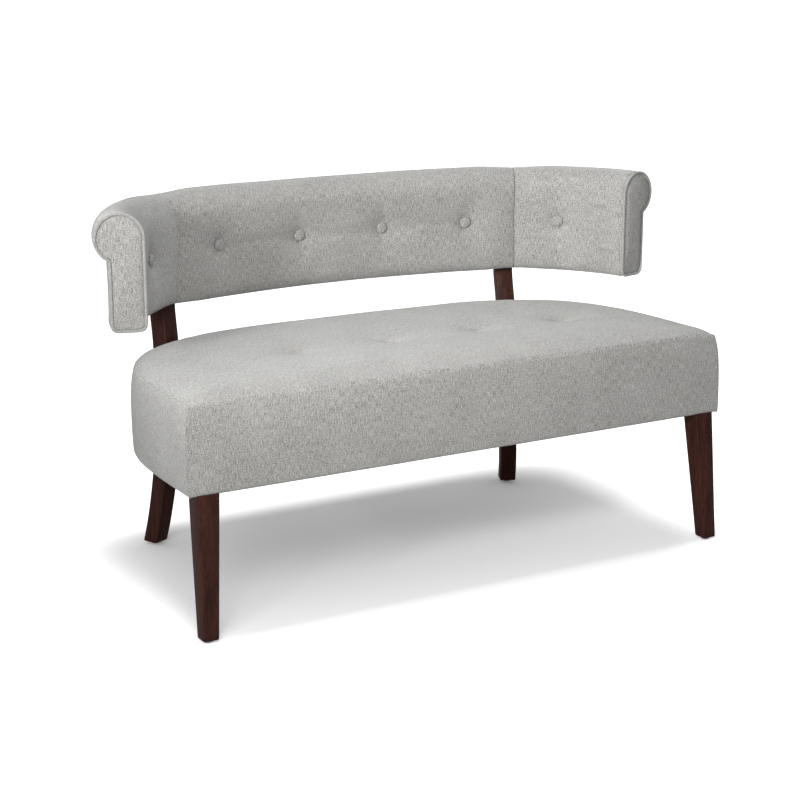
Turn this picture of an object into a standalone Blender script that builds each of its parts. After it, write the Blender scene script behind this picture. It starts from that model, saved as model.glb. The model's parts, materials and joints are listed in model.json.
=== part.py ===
"""Bench settee with a curved, rolled, buttoned back on two rear posts.

Metres, +Z up. X runs along the seat, the front faces -Y, and the origin is on the floor under
the middle of the overall outline. Left is the -X end. Every y below is first a distance behind
the front feet, and front_y puts the feet that far in front of the origin.
"""
import math

import bmesh
import bpy
from mathutils import Vector

for old in list(bpy.data.objects):
    bpy.data.objects.remove(old, do_unlink=True)

# Clearances
gap = 0.0003
head_gap = 0.0006
overrun = 0.010

# Seat outline: a D, straight at the front and superelliptic at the sides and back
seat_half_width = 0.610
seat_front_setback = 0.022
seat_straight_side = 0.038
seat_round_depth = 0.530
seat_power = 3.3
seat_bottom_z = 0.275
seat_seam_z = 0.442
seat_front_lean = 0.010
post_seat_width = 0.036
side_steps = 9
back_steps = 6

# Seat upholstery
cover_wall = 0.010
cover_draw_low = 0.002
cover_draw_high = 0.009
cover_shares = (0.0, 0.2, 0.5, 0.8, 0.92, 1.0)
front_columns = 10
top_lip = 0.002
top_round_height = 0.013
top_round_reach = 0.046
top_crown = 0.006
top_crown_reach = 0.092
seat_tuft_depth = 0.009
seat_tuft_reach = 0.045
seat_tuft_row_setback = 0.268
seat_tuft_spacing = 0.211
seat_tuft_first = -0.262
seat_tuft_count = 4
seat_tuft_sharpness = 3.0
top_rows = 11
top_row_pull = 0.10

# Seat frame
rail_wall = 0.022
rail_height = 0.087
frame_recess = 0.003
deck_wall = 0.012
brace_width = 0.022
brace_height = 0.060
brace_spread = 0.200
corner_block_size = 0.062
dust_cover_wall = 0.0015
dust_cover_margin = 0.014

# Front legs
foot_size = 0.031
leg_top_size = 0.044
leg_side_inset = 0.0175
leg_foot_out = 0.005
leg_edge = 0.002
glide_radius = 0.0095
glide_height = 0.005
glide_edge = 0.0015

# Rear legs and posts
post_size = 0.039
settle_rounds = 5
rear_foot_size = 0.036
post_spread_share = 0.6754
post_lean = 0.0135
lean_start_z = 0.420
rear_foot_back = 0.027
rear_foot_out = 0.029
rear_back_power = 3.0
rear_out_power = 1.2
rear_leg_low_rings = 7
rear_leg_lean_rings = 5

# Bolts
hanger_bolt_radius = 0.004
hanger_bolt_in_leg = 0.045
hanger_bolt_in_block = 0.050
post_bolt_radius = 0.004
post_bolt_head_radius = 0.007
post_bolt_head_height = 0.005
post_bolt_in_post = 0.026
post_bolt_low_rise = 0.022
post_bolt_pitch = 0.043
bolt_sides = 12

# Back: inner face plan and cross-section
overall_height = 0.753
back_bottom_z = 0.5226
back_radius = 1.500
wing_radius = 0.333
wing_start_angle = math.radians(32)
wing_end_angle = math.radians(75)
pad_wall = 0.016
pad_depth = 0.0415
roll_overhang = 0.008
wing_taper = 0.019
bottom_round = 0.014
underside_wall = 0.006
outer_cover_wall = 0.003
seam_draw = 0.006
seam_draw_reach = 0.085
seam_margin = 0.012
wing_end_spans = 3
roll_quarter_steps = 4
roll_end_steps = 2
core_steps = 6

# Back frame
back_rail_share = 0.282
upright_width = 0.045
end_board_wall = 0.018

# Buttons and their dimples
button_radius = 0.0115
button_height = 0.006
button_height_share = 0.614
button_pitch_share = 0.478
wing_button_share = 0.36
dimple_depth = 0.010
dimple_reach = 0.060
dimple_flat = 0.013
dimple_shoulder = 0.036
face_row_shares = (0.0, 0.36, 0.68, 1.0)
face_high_share = 0.45
dimple_sharpness = 3.2
button_profile_shares = ((0.0, 0.93), (0.45, 1.0), (0.8, 0.62), (1.0, 0.2))
button_sides = 16

# Arm faces and piping
welt_radius = 0.003
arm_face_wall = 0.003
arm_face_crown = 0.003
arm_face_slope = 0.010
arm_arc_steps = 12
corner_steps = 3
welt_sides = 6
mitre_limit = 0.6


def make_material(name, colour, roughness, metallic=0.0):
    """A plain Principled finish."""
    material = bpy.data.materials.new(name)
    material.use_nodes = True
    shader = material.node_tree.nodes["Principled BSDF"]
    shader.inputs["Base Color"].default_value = (*colour, 1.0)
    shader.inputs["Roughness"].default_value = roughness
    shader.inputs["Metallic"].default_value = metallic
    return material


fabric = make_material("grey_chenille", (0.40, 0.39, 0.375), 0.95)
piping = make_material("grey_piping", (0.37, 0.36, 0.345), 0.95)
foam = make_material("foam", (0.80, 0.76, 0.62), 0.9)
cambric = make_material("black_cambric", (0.02, 0.02, 0.02), 0.95)
dark_wood = make_material("espresso_wood", (0.045, 0.018, 0.013), 0.35)
hardwood = make_material("frame_hardwood", (0.52, 0.36, 0.20), 0.7)
plywood = make_material("plywood", (0.60, 0.45, 0.28), 0.75)
steel = make_material("zinc_steel", (0.55, 0.55, 0.56), 0.4, 1.0)


def add_mesh(name, points, faces, material, crease=math.radians(35)):
    """Make an object of points and faces, turned so that its faces point out."""
    mesh = bpy.data.meshes.new(name)
    mesh.from_pydata([tuple(point) for point in points], [], faces)
    shape = bmesh.new()
    shape.from_mesh(mesh)
    bmesh.ops.recalc_face_normals(shape, faces=shape.faces)
    if shape.calc_volume(signed=True) < 0:
        bmesh.ops.reverse_faces(shape, faces=shape.faces)
    shape.to_mesh(mesh)
    shape.free()
    mesh.materials.append(material)
    mesh.shade_smooth()
    mesh.set_sharp_from_angle(angle=crease)
    piece = bpy.data.objects.new(name, mesh)
    bpy.context.collection.objects.link(piece)
    return piece


def loft(name, rings, material, closed=False):
    """Join rings of equal count, one after another, and cap the two ends unless it is closed."""
    count = len(rings[0])
    points = [point for ring in rings for point in ring]
    spans = len(rings) if closed else len(rings) - 1
    faces = []
    for i in range(spans):
        a = i * count
        b = ((i + 1) % len(rings)) * count
        for j in range(count):
            k = (j + 1) % count
            faces.append((a + j, a + k, b + k, b + j))
    if not closed:
        faces.append(tuple(range(count)))
        last = (len(rings) - 1) * count
        faces.append(tuple(reversed(range(last, last + count))))
    return add_mesh(name, points, faces, material)


def slab(name, outline, low, high, material):
    """Stand a flat outline of (x, y) points up between two heights."""
    return loft(name, [[(x, y, z) for x, y in outline] for z in (low, high)], material)


def cut(piece, cutter):
    """Take one shape out of another; the cutter stays as a hidden wire guide."""
    modifier = piece.modifiers.new(cutter.name, "BOOLEAN")
    modifier.operation = "DIFFERENCE"
    modifier.solver = "EXACT"
    modifier.object = cutter
    cutter.hide_render = True
    cutter.display_type = "WIRE"


def turned(name, start, axis, profile, sides, material):
    """Turn a profile of (distance along the axis, radius) points round an axis from start."""
    along = Vector(axis).normalized()
    across = along.orthogonal().normalized()
    other = along.cross(across)
    rings = []
    for distance, radius in profile:
        ring = []
        for i in range(sides):
            angle = math.tau * i / sides
            spoke = across * math.cos(angle) + other * math.sin(angle)
            ring.append(Vector(start) + along * distance + spoke * radius)
        rings.append(ring)
    return loft(name, rings, material)


# Seat plan
seat_centre_depth = seat_front_setback + seat_straight_side
rail_inset = cover_wall + gap


def seat_reach(angle, inset):
    """Point of the D at a polar angle from its centre line, in from the fabric by inset."""
    a = seat_half_width - inset
    b = seat_round_depth - inset
    c = abs(math.cos(angle))
    s = math.sin(angle)
    reach = ((c / a) ** seat_power + (s / b) ** seat_power) ** (-1 / seat_power)
    return (math.copysign(reach * c, math.cos(angle)), seat_centre_depth + reach * s)


def seat_angle_at(x):
    """Polar angle at which the fabric's outline passes x."""
    share = (1 - (x / seat_half_width) ** seat_power) ** (1 / seat_power)
    return math.atan2(seat_round_depth * share, x)


def blend_angles(first, last, steps):
    """Even angles from the first up to, not with, the last."""
    return [first + (last - first) * i / steps for i in range(steps)]


# The outline runs flat behind each post, so the post seats on it
post_spread = seat_half_width * post_spread_share
facet_half = post_seat_width / 2
facet_outer = seat_angle_at(post_spread + facet_half)
facet_inner = seat_angle_at(post_spread - facet_half)
half_angles = blend_angles(0.0, facet_outer, side_steps) + [facet_outer]
half_angles += blend_angles(facet_inner, math.pi / 2, back_steps) + [math.pi / 2]
seat_angles = half_angles + [math.pi - angle for angle in reversed(half_angles[:-1])]
facet_start = Vector(seat_reach(facet_inner, 0))
facet_end = Vector(seat_reach(facet_outer, 0))
post_turn = math.atan2(facet_start.y - facet_end.y, facet_end.x - facet_start.x)
post_across = Vector((math.cos(post_turn), -math.sin(post_turn)))
post_out = Vector((math.sin(post_turn), math.cos(post_turn)))
post_seat = (facet_start + facet_end) / 2
post_centre = post_seat + post_out * (gap + post_size / 2)
post_high = post_centre + Vector((0, post_lean))
rail_depth = max(
    (post_seat - Vector(seat_reach(angle, rail_inset + rail_wall))).dot(post_out)
    for angle in (facet_inner, facet_outer)
)

# Back plan, placed so that the posts stand behind its padding
post_corner = post_high + post_across * (post_size / 2 + gap) - post_out * post_size / 2
seam_angle = 0.0
for settle_round in range(settle_rounds):
    post_setback = (pad_depth + gap) / math.cos(post_turn - seam_angle) + gap
    seam_point = post_corner - post_out * post_setback
    seam_angle = math.asin(seam_point.x / back_radius)
middle_centre = Vector((0, seam_point.y - back_radius * math.cos(seam_angle)))
back_face_depth = middle_centre.y + back_radius
wing_centre = seam_point - Vector((math.sin(wing_start_angle), math.cos(wing_start_angle))) * wing_radius
post_reach = max(
    (post_high + post_across * side * post_size / 2 + post_out * post_size / 2 - middle_centre).length
    for side in (-1, 1)
)
back_wall = post_reach - back_radius + outer_cover_wall + gap + gap
tip_wall = back_wall - wing_taper
roll_radius = (back_wall + roll_overhang) / 2
roll_z = overall_height - roll_radius
roll_core = roll_radius - pad_wall
post_top_z = roll_z - roll_core - gap
button_z = back_bottom_z + (roll_z - back_bottom_z) * button_height_share
back_rail_low_z = back_bottom_z + underside_wall + gap
back_rail_height = (post_top_z - back_rail_low_z) * back_rail_share
overall_depth = back_face_depth + 2 * roll_radius
front_y = -overall_depth / 2


def world(point, z):
    """A plan point, measured behind the front feet, at a height."""
    return (point[0], point[1] + front_y, z)


def front_face_depth(z):
    """The front panel leans back a little from its bottom edge up to the seam."""
    return seat_front_setback + seat_front_lean * (z - seat_bottom_z) / (seat_seam_z - seat_bottom_z)


def seat_outline(inset, z):
    """The whole D as (x, y) points in the part's frame, from one front corner round to the other."""
    front = front_face_depth(z) + inset
    points = [(seat_half_width - inset, front)]
    points += [seat_reach(angle, inset) for angle in seat_angles]
    points.append((inset - seat_half_width, front))
    return [(x, y + front_y) for x, y in points]


# Heights inside the seat
frame_z = seat_bottom_z + frame_recess
rail_top_z = frame_z + rail_height
deck_z = rail_top_z + gap
foam_z = deck_z + deck_wall + gap
block_front_y = seat_front_setback + seat_front_lean + rail_inset + front_y


def draw_in(z):
    """Side walls draw in a little at the bottom edge and more towards the seam."""
    share = 2 * (z - seat_bottom_z) / (seat_seam_z - seat_bottom_z) - 1
    if share < 0:
        return cover_draw_low * share ** 2
    return cover_draw_high * share ** 3


def cover_levels():
    """Outer heights of the seat's side and front covers."""
    top = seat_seam_z - gap
    return [seat_bottom_z + (top - seat_bottom_z) * share for share in cover_shares]


def make_seat_covers():
    """Front panel, one band round the sides and back, and the domed and tufted top."""
    levels = cover_levels()
    rings = []
    path_count = len(seat_angles) + 2
    for i in range(path_count):
        ring = []
        for z in levels:
            x, y = seat_outline(draw_in(z), z)[i]
            ring.append((x, y, z))
        for z in (levels[-1], levels[0]):
            x, y = seat_outline(cover_wall, z)[i]
            ring.append((x, y, z))
        if i in (0, path_count - 1):
            ring = [(x, y + gap, z) for x, y, z in ring]
        rings.append(ring)
    side = loft("seat_side_cover", rings, fabric)
    rings = []
    for i in range(front_columns + 1):
        share = 2 * i / front_columns - 1
        ring = []
        for z in levels:
            inset = draw_in(z)
            reach = seat_half_width - gap - inset
            ring.append((share * reach, front_face_depth(z) + front_y + inset, z))
        for z in (levels[-1], levels[0]):
            reach = seat_half_width - gap - cover_wall
            ring.append((share * reach, front_face_depth(z) + front_y + cover_wall, z))
        rings.append(ring)
    loft("seat_front_cover", rings, fabric)
    return side


def tuft_centres():
    """The row of sewn tufts on the seat."""
    xs = [seat_tuft_first + seat_tuft_spacing * i for i in range(seat_tuft_count)]
    return [(x, seat_tuft_row_setback) for x in xs]


def dome(distance, reach):
    """Quarter-ellipse rise from an edge, level once past the reach."""
    share = 1 - min(max(distance / reach, 0.0), 1.0)
    return math.sqrt(max(0.0, 1 - share * share))


def seat_top_z(x, depth, front, edge_inset):
    """Height of the top fabric: rounded edges, a broad crown and the pulled tufts."""
    a = seat_half_width - edge_inset
    b = seat_round_depth - edge_inset
    behind = max(depth - seat_centre_depth, 0.0)
    level = ((abs(x) / a) ** seat_power + (behind / b) ** seat_power) ** (1 / seat_power)
    side_gap = (1 - level) * math.hypot(x, behind) / max(level, gap)
    if behind == 0.0:
        side_gap = a - abs(x)
    side_rise = dome(side_gap, top_round_reach)
    rise = top_round_height * side_rise * dome(depth - front, top_round_reach)
    rise += top_crown * max(0.0, 1 - level * level) * dome(depth - front, top_crown_reach)
    for tuft_x, tuft_depth in tuft_centres():
        away = math.hypot(x - tuft_x, depth - tuft_depth) / seat_tuft_reach
        rise -= seat_tuft_depth * math.exp(-seat_tuft_sharpness * away) * side_rise
    return seat_seam_z + top_lip + rise


def make_seat_top():
    """Columns run front to back; their ends follow the D, and the underside is one flat face."""
    inset = draw_in(seat_seam_z)
    front = front_face_depth(seat_seam_z) + inset
    back_points = [seat_reach(angle, inset) for angle in seat_angles]
    offsets = (-seat_tuft_reach / 2, 0.0, seat_tuft_reach / 2)
    tuft_columns = [tuft_x + offset for tuft_x, _ in tuft_centres() for offset in offsets]
    flat_limit = post_spread - post_size
    columns = [point for point in back_points if abs(point[0]) > flat_limit]
    for x in tuft_columns:
        if abs(x) < flat_limit:
            share = (1 - (abs(x) / (seat_half_width - inset)) ** seat_power) ** (1 / seat_power)
            columns.append((x, seat_centre_depth + (seat_round_depth - inset) * share))
    columns.sort(reverse=True)
    row_shares = [i / top_rows for i in range(top_rows + 1)]
    warped = [share - top_row_pull * math.sin(math.tau * share) for share in row_shares]
    tuft_share = (seat_tuft_row_setback - front) / (seat_round_depth + seat_straight_side)
    nearest = min(range(len(warped)), key=lambda i: abs(warped[i] - tuft_share))
    grid = []
    for x, back in columns:
        column = []
        for i, share in enumerate(warped):
            depth = front + (back - front) * share
            if i == nearest and abs(x) < flat_limit:
                depth = seat_tuft_row_setback
            column.append((x, depth + front_y, seat_top_z(x, depth, front, inset)))
        grid.append(column)
    rows = top_rows + 1
    points = [point for column in grid for point in column]
    faces = []
    for i in range(len(grid) - 1):
        for j in range(top_rows):
            a = i * rows + j
            faces.append((a, a + 1, a + rows + 1, a + rows))
    last = (len(grid) - 1) * rows
    rim = list(range(rows)) + [i * rows + top_rows for i in range(1, len(grid))]
    rim += list(range(last + top_rows - 1, last - 1, -1))
    rim += [i * rows for i in range(len(grid) - 2, 0, -1)]
    base = len(points)
    points += [(points[i][0], points[i][1], seat_seam_z) for i in rim]
    for i in range(len(rim)):
        k = (i + 1) % len(rim)
        faces.append((rim[i], rim[k], base + k, base + i))
    faces.append(tuple(range(base, base + len(rim))))
    add_mesh("seat_top_cover", points, faces, fabric)


def curved_rail(name, first, last):
    """A rail that follows the D between two outline indexes, trimmed by a gap at both ends."""
    outer = seat_outline(rail_inset, frame_z)[first:last + 1]
    inner = seat_outline(rail_inset + rail_wall, frame_z)[first:last + 1]
    for row in (outer, inner):
        for end, beyond in ((0, 1), (-1, -2)):
            step = Vector(row[beyond]) - Vector(row[end])
            row[end] = tuple(Vector(row[end]) + step.normalized() * gap)
    return slab(name, outer + inner[::-1], frame_z, rail_top_z, hardwood)


def make_seat_frame():
    """Rails on corner blocks, braces, the deck on top, the foam on it and the dust cover below."""
    count = len(seat_angles) + 2
    block_half = seat_half_width - rail_inset
    front = block_front_y
    joint = side_steps - 1
    for name, side in (("left", -1), ("right", 1)):
        xs = sorted((side * block_half, side * (block_half - corner_block_size)))
        outline = [(xs[0], front), (xs[1], front), (xs[1], front + corner_block_size)]
        outline.append((xs[0], front + corner_block_size))
        block = slab("corner_block_" + name, outline, seat_bottom_z, rail_top_z, hardwood)
        radius = hanger_bolt_radius + gap
        profile = [(0, radius), (overrun + hanger_bolt_in_block + gap, radius)]
        start = world(leg_axis(side), seat_bottom_z - overrun)
        cut(block, turned("hanger_hole_" + name, start, (0, 0, 1), profile, bolt_sides, steel))
    rail_y = (front, front + rail_wall)
    reach = block_half - corner_block_size - gap
    outline = [(-reach, rail_y[0]), (reach, rail_y[0]), (reach, rail_y[1]), (-reach, rail_y[1])]
    slab("front_rail", outline, frame_z, rail_top_z, hardwood)
    start = front + corner_block_size + gap
    for name, flip in (("right", 1), ("left", -1)):
        outer = [p for p in seat_outline(rail_inset, frame_z)[1:joint + 2] if p[1] > start]
        inner = [p for p in seat_outline(rail_inset + rail_wall, frame_z)[1:joint + 2] if p[1] > start]
        outer.insert(0, (block_half, start))
        inner.insert(0, (block_half - rail_wall, start))
        outline = [(flip * x, y) for x, y in outer + inner[::-1]]
        slab("side_rail_" + name, outline, frame_z, rail_top_z, hardwood)
    rear = curved_rail("rear_rail", joint + 1, count - joint - 2)
    for name, side in (("left", -1), ("right", 1)):
        x = side * brace_spread
        inner = seat_outline(rail_inset + rail_wall, frame_z)
        edges = (-brace_width / 2, brace_width / 2)
        outline = [(x + edge, front + rail_wall + gap) for edge in edges]
        outline += [(x + edge, back_edge_y(inner, x + edge) - gap) for edge in edges[::-1]]
        slab("seat_brace_" + name, outline, rail_top_z - brace_height, rail_top_z, hardwood)
    slab("seat_deck", seat_outline(rail_inset, seat_seam_z), deck_z, foam_z - gap, plywood)
    slab("seat_foam", seat_outline(rail_inset, seat_seam_z), foam_z, seat_seam_z - gap, foam)
    make_dust_cover()
    return rear


def make_dust_cover():
    """Black cloth tacked under the rails and cut round the corner blocks."""
    notch_x = seat_half_width - rail_inset - corner_block_size - gap
    notch_y = block_front_y + corner_block_size + gap
    outline = seat_outline(dust_cover_margin, frame_z)
    reach, front = outline[0]
    body = [point for point in outline[1:-1] if point[1] > notch_y + gap]
    outline = [(notch_x, front), (notch_x, notch_y), (reach, notch_y)] + body
    outline += [(-reach, notch_y), (-notch_x, notch_y), (-notch_x, front)]
    slab("dust_cover", outline, frame_z - gap - dust_cover_wall, frame_z - gap, cambric)


def back_edge_y(outline, x):
    """Where an outline's back edge stands at x."""
    for a, b in zip(outline[1:-2], outline[2:-1]):
        if b[0] <= x <= a[0]:
            return a[1] + (b[1] - a[1]) * (x - a[0]) / (b[0] - a[0])


def leg_axis(side):
    """Middle of a front leg's top."""
    across = seat_half_width - leg_side_inset - leg_top_size / 2
    return (side * across, seat_front_setback + leg_top_size / 2)


def square(centre, size, edge, across=Vector((1, 0)), out=Vector((0, 1))):
    """A square of plan points with chamfered corners, turned to two directions."""
    half = size / 2
    near = half - edge
    corners = [(-near, -half), (near, -half), (half, -near), (half, near)]
    corners += [(near, half), (-near, half), (-half, near), (-half, -near)]
    return [Vector(centre) + across * u + out * v for u, v in corners]


def make_front_legs():
    """Square tapered legs that splay forward to feet on glides, under the corner blocks."""
    for name, side in (("left", -1), ("right", 1)):
        top = leg_axis(side)
        foot = (side * (abs(top[0]) + (leg_top_size - foot_size) / 2 + leg_foot_out), foot_size / 2)
        low_z = glide_height + gap
        top_z = seat_bottom_z - gap
        rings = []
        foot_ring = square(foot, foot_size - 2 * leg_edge, leg_edge)
        rings.append([world(point, low_z) for point in foot_ring])
        for point, size, z in ((foot, foot_size, low_z + leg_edge), (top, leg_top_size, top_z)):
            rings.append([world(corner, z) for corner in square(point, size, leg_edge)])
        leg = loft("front_leg_" + name, rings, dark_wood)
        axis = world(top, top_z - hanger_bolt_in_leg - gap)
        depth = hanger_bolt_in_leg + gap + overrun
        radius = hanger_bolt_radius + gap
        profile = [(0, radius), (depth, radius)]
        cut(leg, turned("leg_hole_" + name, axis, (0, 0, 1), profile, bolt_sides, steel))
        length = hanger_bolt_in_leg + gap + hanger_bolt_in_block
        start = world(top, top_z - hanger_bolt_in_leg)
        profile = [(0, hanger_bolt_radius), (length, hanger_bolt_radius)]
        turned("hanger_bolt_" + name, start, (0, 0, 1), profile, bolt_sides, steel)
        make_glide("glide_front_" + name, world(foot, 0))


def make_glide(name, centre):
    """A nailed metal foot glide with an eased rim."""
    profile = [(0, glide_radius - glide_edge), (glide_edge, glide_radius), (glide_height, glide_radius)]
    turned(name, centre, (0, 0, 1), profile, button_sides, steel)


def smooth_step(share):
    share = min(max(share, 0.0), 1.0)
    return share * share * (3 - 2 * share)


def rear_leg_centre(z):
    """Centre line: a swept foot, upright behind the seat, then a lean back under the padding."""
    below = max(0.0, (seat_bottom_z - z) / seat_bottom_z)
    x = post_centre.x + rear_foot_out * below ** rear_out_power
    y = post_centre.y + rear_foot_back * below ** rear_back_power
    y += post_lean * smooth_step((z - lean_start_z) / (back_bottom_z - lean_start_z))
    return Vector((x, y))


def rear_leg_size(z):
    """The leg tapers below the seat."""
    below = max(0.0, (seat_bottom_z - z) / seat_bottom_z)
    return post_size + (rear_foot_size - post_size) * below


def rear_leg_square(z, size):
    """The rear leg's section at a height, turned to the flat it stands on."""
    return square(rear_leg_centre(z), size, leg_edge, post_across, post_out)


def mirrored(points, side):
    """The same points, or those of the other side."""
    return [(side * point[0], point[1], point[2]) for point in points]


def make_rear_legs(rear_rail, side_cover, outer_cover):
    """Sabre legs that run on up as posts, bolted through the cover to the rear rail."""
    low_z = glide_height + gap
    low_step = (seat_bottom_z - low_z) / rear_leg_low_rings
    lean_step = (back_bottom_z - lean_start_z) / rear_leg_lean_rings
    heights = [low_z + low_step * i for i in range(rear_leg_low_rings + 1)]
    heights += [lean_start_z + lean_step * i for i in range(rear_leg_lean_rings + 1)]
    heights.append(post_top_z)
    for name, side in (("left", -1), ("right", 1)):
        ring = rear_leg_square(low_z, rear_leg_size(low_z) - 2 * leg_edge)
        rings = [mirrored([world(point, low_z) for point in ring], side)]
        for i, z in enumerate(heights):
            level = z + leg_edge if i == 0 else z
            ring = rear_leg_square(z, rear_leg_size(z))
            rings.append(mirrored([world(point, level) for point in ring], side))
        leg = loft("rear_leg_" + name, rings, dark_wood)
        foot = rear_leg_centre(low_z)
        make_glide("glide_rear_" + name, world((side * foot.x, foot.y), 0))
        out = Vector((side * post_out.x, post_out.y, 0))
        seat = Vector(world((side * post_seat.x, post_seat.y), 0))
        bolts = (("lower", post_bolt_low_rise), ("upper", post_bolt_low_rise + post_bolt_pitch))
        for level, rise in bolts:
            centre = seat + Vector((0, 0, frame_z + rise))
            inside = centre - out * (rail_depth + head_gap)
            shank = rail_depth + head_gap + gap + post_bolt_in_post
            head = post_bolt_head_height
            profile = [(0, post_bolt_head_radius), (head, post_bolt_head_radius)]
            profile += [(head, post_bolt_radius), (head + shank, post_bolt_radius)]
            turned(f"post_bolt_{name}_{level}", inside - out * head, out, profile, bolt_sides, steel)
            radius = post_bolt_radius + gap
            profile = [(0, radius), (overrun + shank + gap, radius)]
            start = inside - out * overrun
            hole = turned(f"post_hole_{name}_{level}", start, out, profile, bolt_sides, steel)
            for piece in (rear_rail, side_cover, leg):
                cut(piece, hole)
        ring = rear_leg_square(back_bottom_z, post_size + 2 * gap)
        levels = (back_bottom_z - overrun, back_bottom_z + bottom_round)
        rings = [mirrored([world(point, z) for point in ring], side) for z in levels]
        cut(outer_cover, loft("post_notch_" + name, rings, steel))


def back_station(distance):
    """Inner-face point and outward direction, a distance along the face from the middle."""
    if distance <= seam_distance:
        angle = distance / back_radius
        point = middle_centre + Vector((math.sin(angle), math.cos(angle))) * back_radius
    else:
        angle = wing_start_angle + (distance - seam_distance) / wing_radius
        point = wing_centre + Vector((math.sin(angle), math.cos(angle))) * wing_radius
    return point, angle


seam_distance = back_radius * seam_angle
tip_distance = seam_distance + wing_radius * (wing_end_angle - wing_start_angle)


def wall_at(distance):
    """The back is thickest over the posts and slims along the wings to the arm faces."""
    share = max(0.0, (distance - seam_distance) / (tip_distance - seam_distance))
    return back_wall - wing_taper * smooth_step(share)


def section_point(station, n, z, slide=0.0):
    """A cross-section point n behind the inner face, slid along the face by slide."""
    point, angle = station
    out = Vector((math.sin(angle), math.cos(angle)))
    across = Vector((math.cos(angle), -math.sin(angle)))
    return world(point + out * n + across * slide, z)


def roll_end_angle(radius, outer):
    """Angle on the roll where its underside meets the outside of the back."""
    return -math.acos((outer - roll_radius) / radius)


def notch_height(distance):
    """Height of the seam under the roll, where the padding meets the outside cover."""
    return roll_z + roll_radius * math.sin(roll_end_angle(roll_radius, wall_at(distance)))


def arc(centre_n, centre_z, radius, first, last, steps):
    """Points on an arc from one angle to another, both included."""
    points = []
    for i in range(steps + 1):
        angle = first + (last - first) * i / steps
        points.append((centre_n + radius * math.cos(angle), centre_z + radius * math.sin(angle)))
    return points


def dimple(away):
    """Depth of the pull round a button: flat under it, easing out over the reach."""
    share = max(0.0, away - dimple_flat) / (dimple_reach - dimple_flat)
    return dimple_depth * math.exp(-dimple_sharpness * share * share)


def button_distances(wing):
    """Distances of one side's buttons along the face."""
    if wing:
        return [seam_distance + (tip_distance - seam_distance) * wing_button_share]
    pitch = seam_distance * button_pitch_share
    return [pitch / 2, pitch + pitch / 2]


def face_rows():
    """Heights of the inside cover's rows, with a level patch under the buttons."""
    low = back_bottom_z + bottom_round
    span = button_z - dimple_flat - low
    rows = [low + span * share for share in face_row_shares]
    high = button_z + dimple_flat
    return rows + [high, high + (roll_z - high) * face_high_share]


def seam_depth(distance, ends):
    """How far the padding is drawn in near a panel's seamed ends."""
    span = min(abs(distance - end) for end in ends)
    return seam_draw * (1 - smooth_step(span / seam_draw_reach))


def face_depth(distance, z, buttons, ends):
    """How far the fabric lies behind the plan face: drawn to the seams and pulled to the buttons."""
    pull = max(dimple(math.hypot(distance - at, z - button_z)) for at in buttons)
    if abs(z - button_z) <= dimple_flat + gap:
        pull = max([pull] + [dimple_depth for at in buttons if abs(distance - at) <= dimple_flat + gap])
    return max(seam_depth(distance, ends), pull)


def inside_ring(station, distance, buttons, ends, slide=0.0):
    """Closed section of the padded inside cover: under, up the face, over the roll and back."""
    ring = [(pad_depth, back_bottom_z)]
    ring += arc(bottom_round, back_bottom_z + bottom_round, bottom_round, -math.pi / 2, -math.pi, 2)[:-1]
    ring += [(face_depth(distance, z, buttons, ends), z) for z in face_rows()]
    end = roll_end_angle(roll_radius, wall_at(distance))
    reach = roll_radius - seam_depth(distance, ends)
    quarter = roll_quarter_steps
    ring += arc(roll_radius, roll_z, reach, math.pi, 0, quarter + quarter)
    ring += arc(roll_radius, roll_z, reach, 0, end, roll_end_steps)[1:]
    ring += arc(roll_radius, roll_z, roll_core, end, math.pi, core_steps)
    ring += [(pad_wall, back_bottom_z + underside_wall), (pad_depth, back_bottom_z + underside_wall)]
    return [section_point(station, n, z, slide) for n, z in ring]


def foam_ring(station, distance, slide=0.0):
    """Section of the foam: a flat pad that swells into the roll."""
    face = pad_wall + gap
    back = pad_depth - gap
    core = roll_core - gap
    low = back_rail_low_z
    end = roll_end_angle(roll_radius, wall_at(distance))
    ring = [(back, low), (face, low)]
    ring += arc(roll_radius, roll_z, core, math.pi, end, core_steps)
    ring += [(roll_radius, roll_z - core), (back, roll_z - core)]
    return [section_point(station, n, z, slide) for n, z in ring]


def around_buttons(buttons):
    """Stations that give every button its level patch and shoulders."""
    offsets = (-dimple_reach, -dimple_shoulder, -dimple_flat, dimple_flat, dimple_shoulder, dimple_reach)
    return [at + offset for at in buttons for offset in offsets]


def mirror_ring(ring):
    """The ring on the other side of the middle."""
    return [(-x, y, z) for x, y, z in ring]


def both_ways(rings):
    """Rings from the middle to one side, run on from the other side."""
    return [mirror_ring(ring) for ring in rings[:0:-1]] + rings


def post_side_station():
    """Where the middle rails stop against the posts' inner sides, and how far along that is."""
    inner = post_high - post_across * (post_size / 2 + gap)
    reach = (inner - middle_centre).dot(post_across)
    point = middle_centre + post_across * reach + post_out * math.sqrt(back_radius ** 2 - reach ** 2)
    return point, back_radius * math.atan2(point.x, point.y - middle_centre.y)


rail_end_point, rail_end_distance = post_side_station()
wing_frame_end = tip_distance - end_board_wall


def middle_distances():
    """Shared stations of the middle panel, from the centre out to just short of the seam."""
    distances = [0.0, rail_end_distance, seam_distance - seam_margin]
    distances += around_buttons(button_distances(False))
    return sorted(distance for distance in distances if distance <= seam_distance - seam_margin)


def wing_distances():
    """Shared stations of a wing, from just past the seam out to its tip."""
    distances = [seam_distance + seam_margin, wing_frame_end, tip_distance]
    distances += around_buttons(button_distances(True))
    last = max(around_buttons(button_distances(True)))
    distances += [last + (wing_frame_end - last) * i / wing_end_spans for i in range(1, wing_end_spans)]
    return sorted(distance for distance in distances if distance >= seam_distance + seam_margin)


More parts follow.
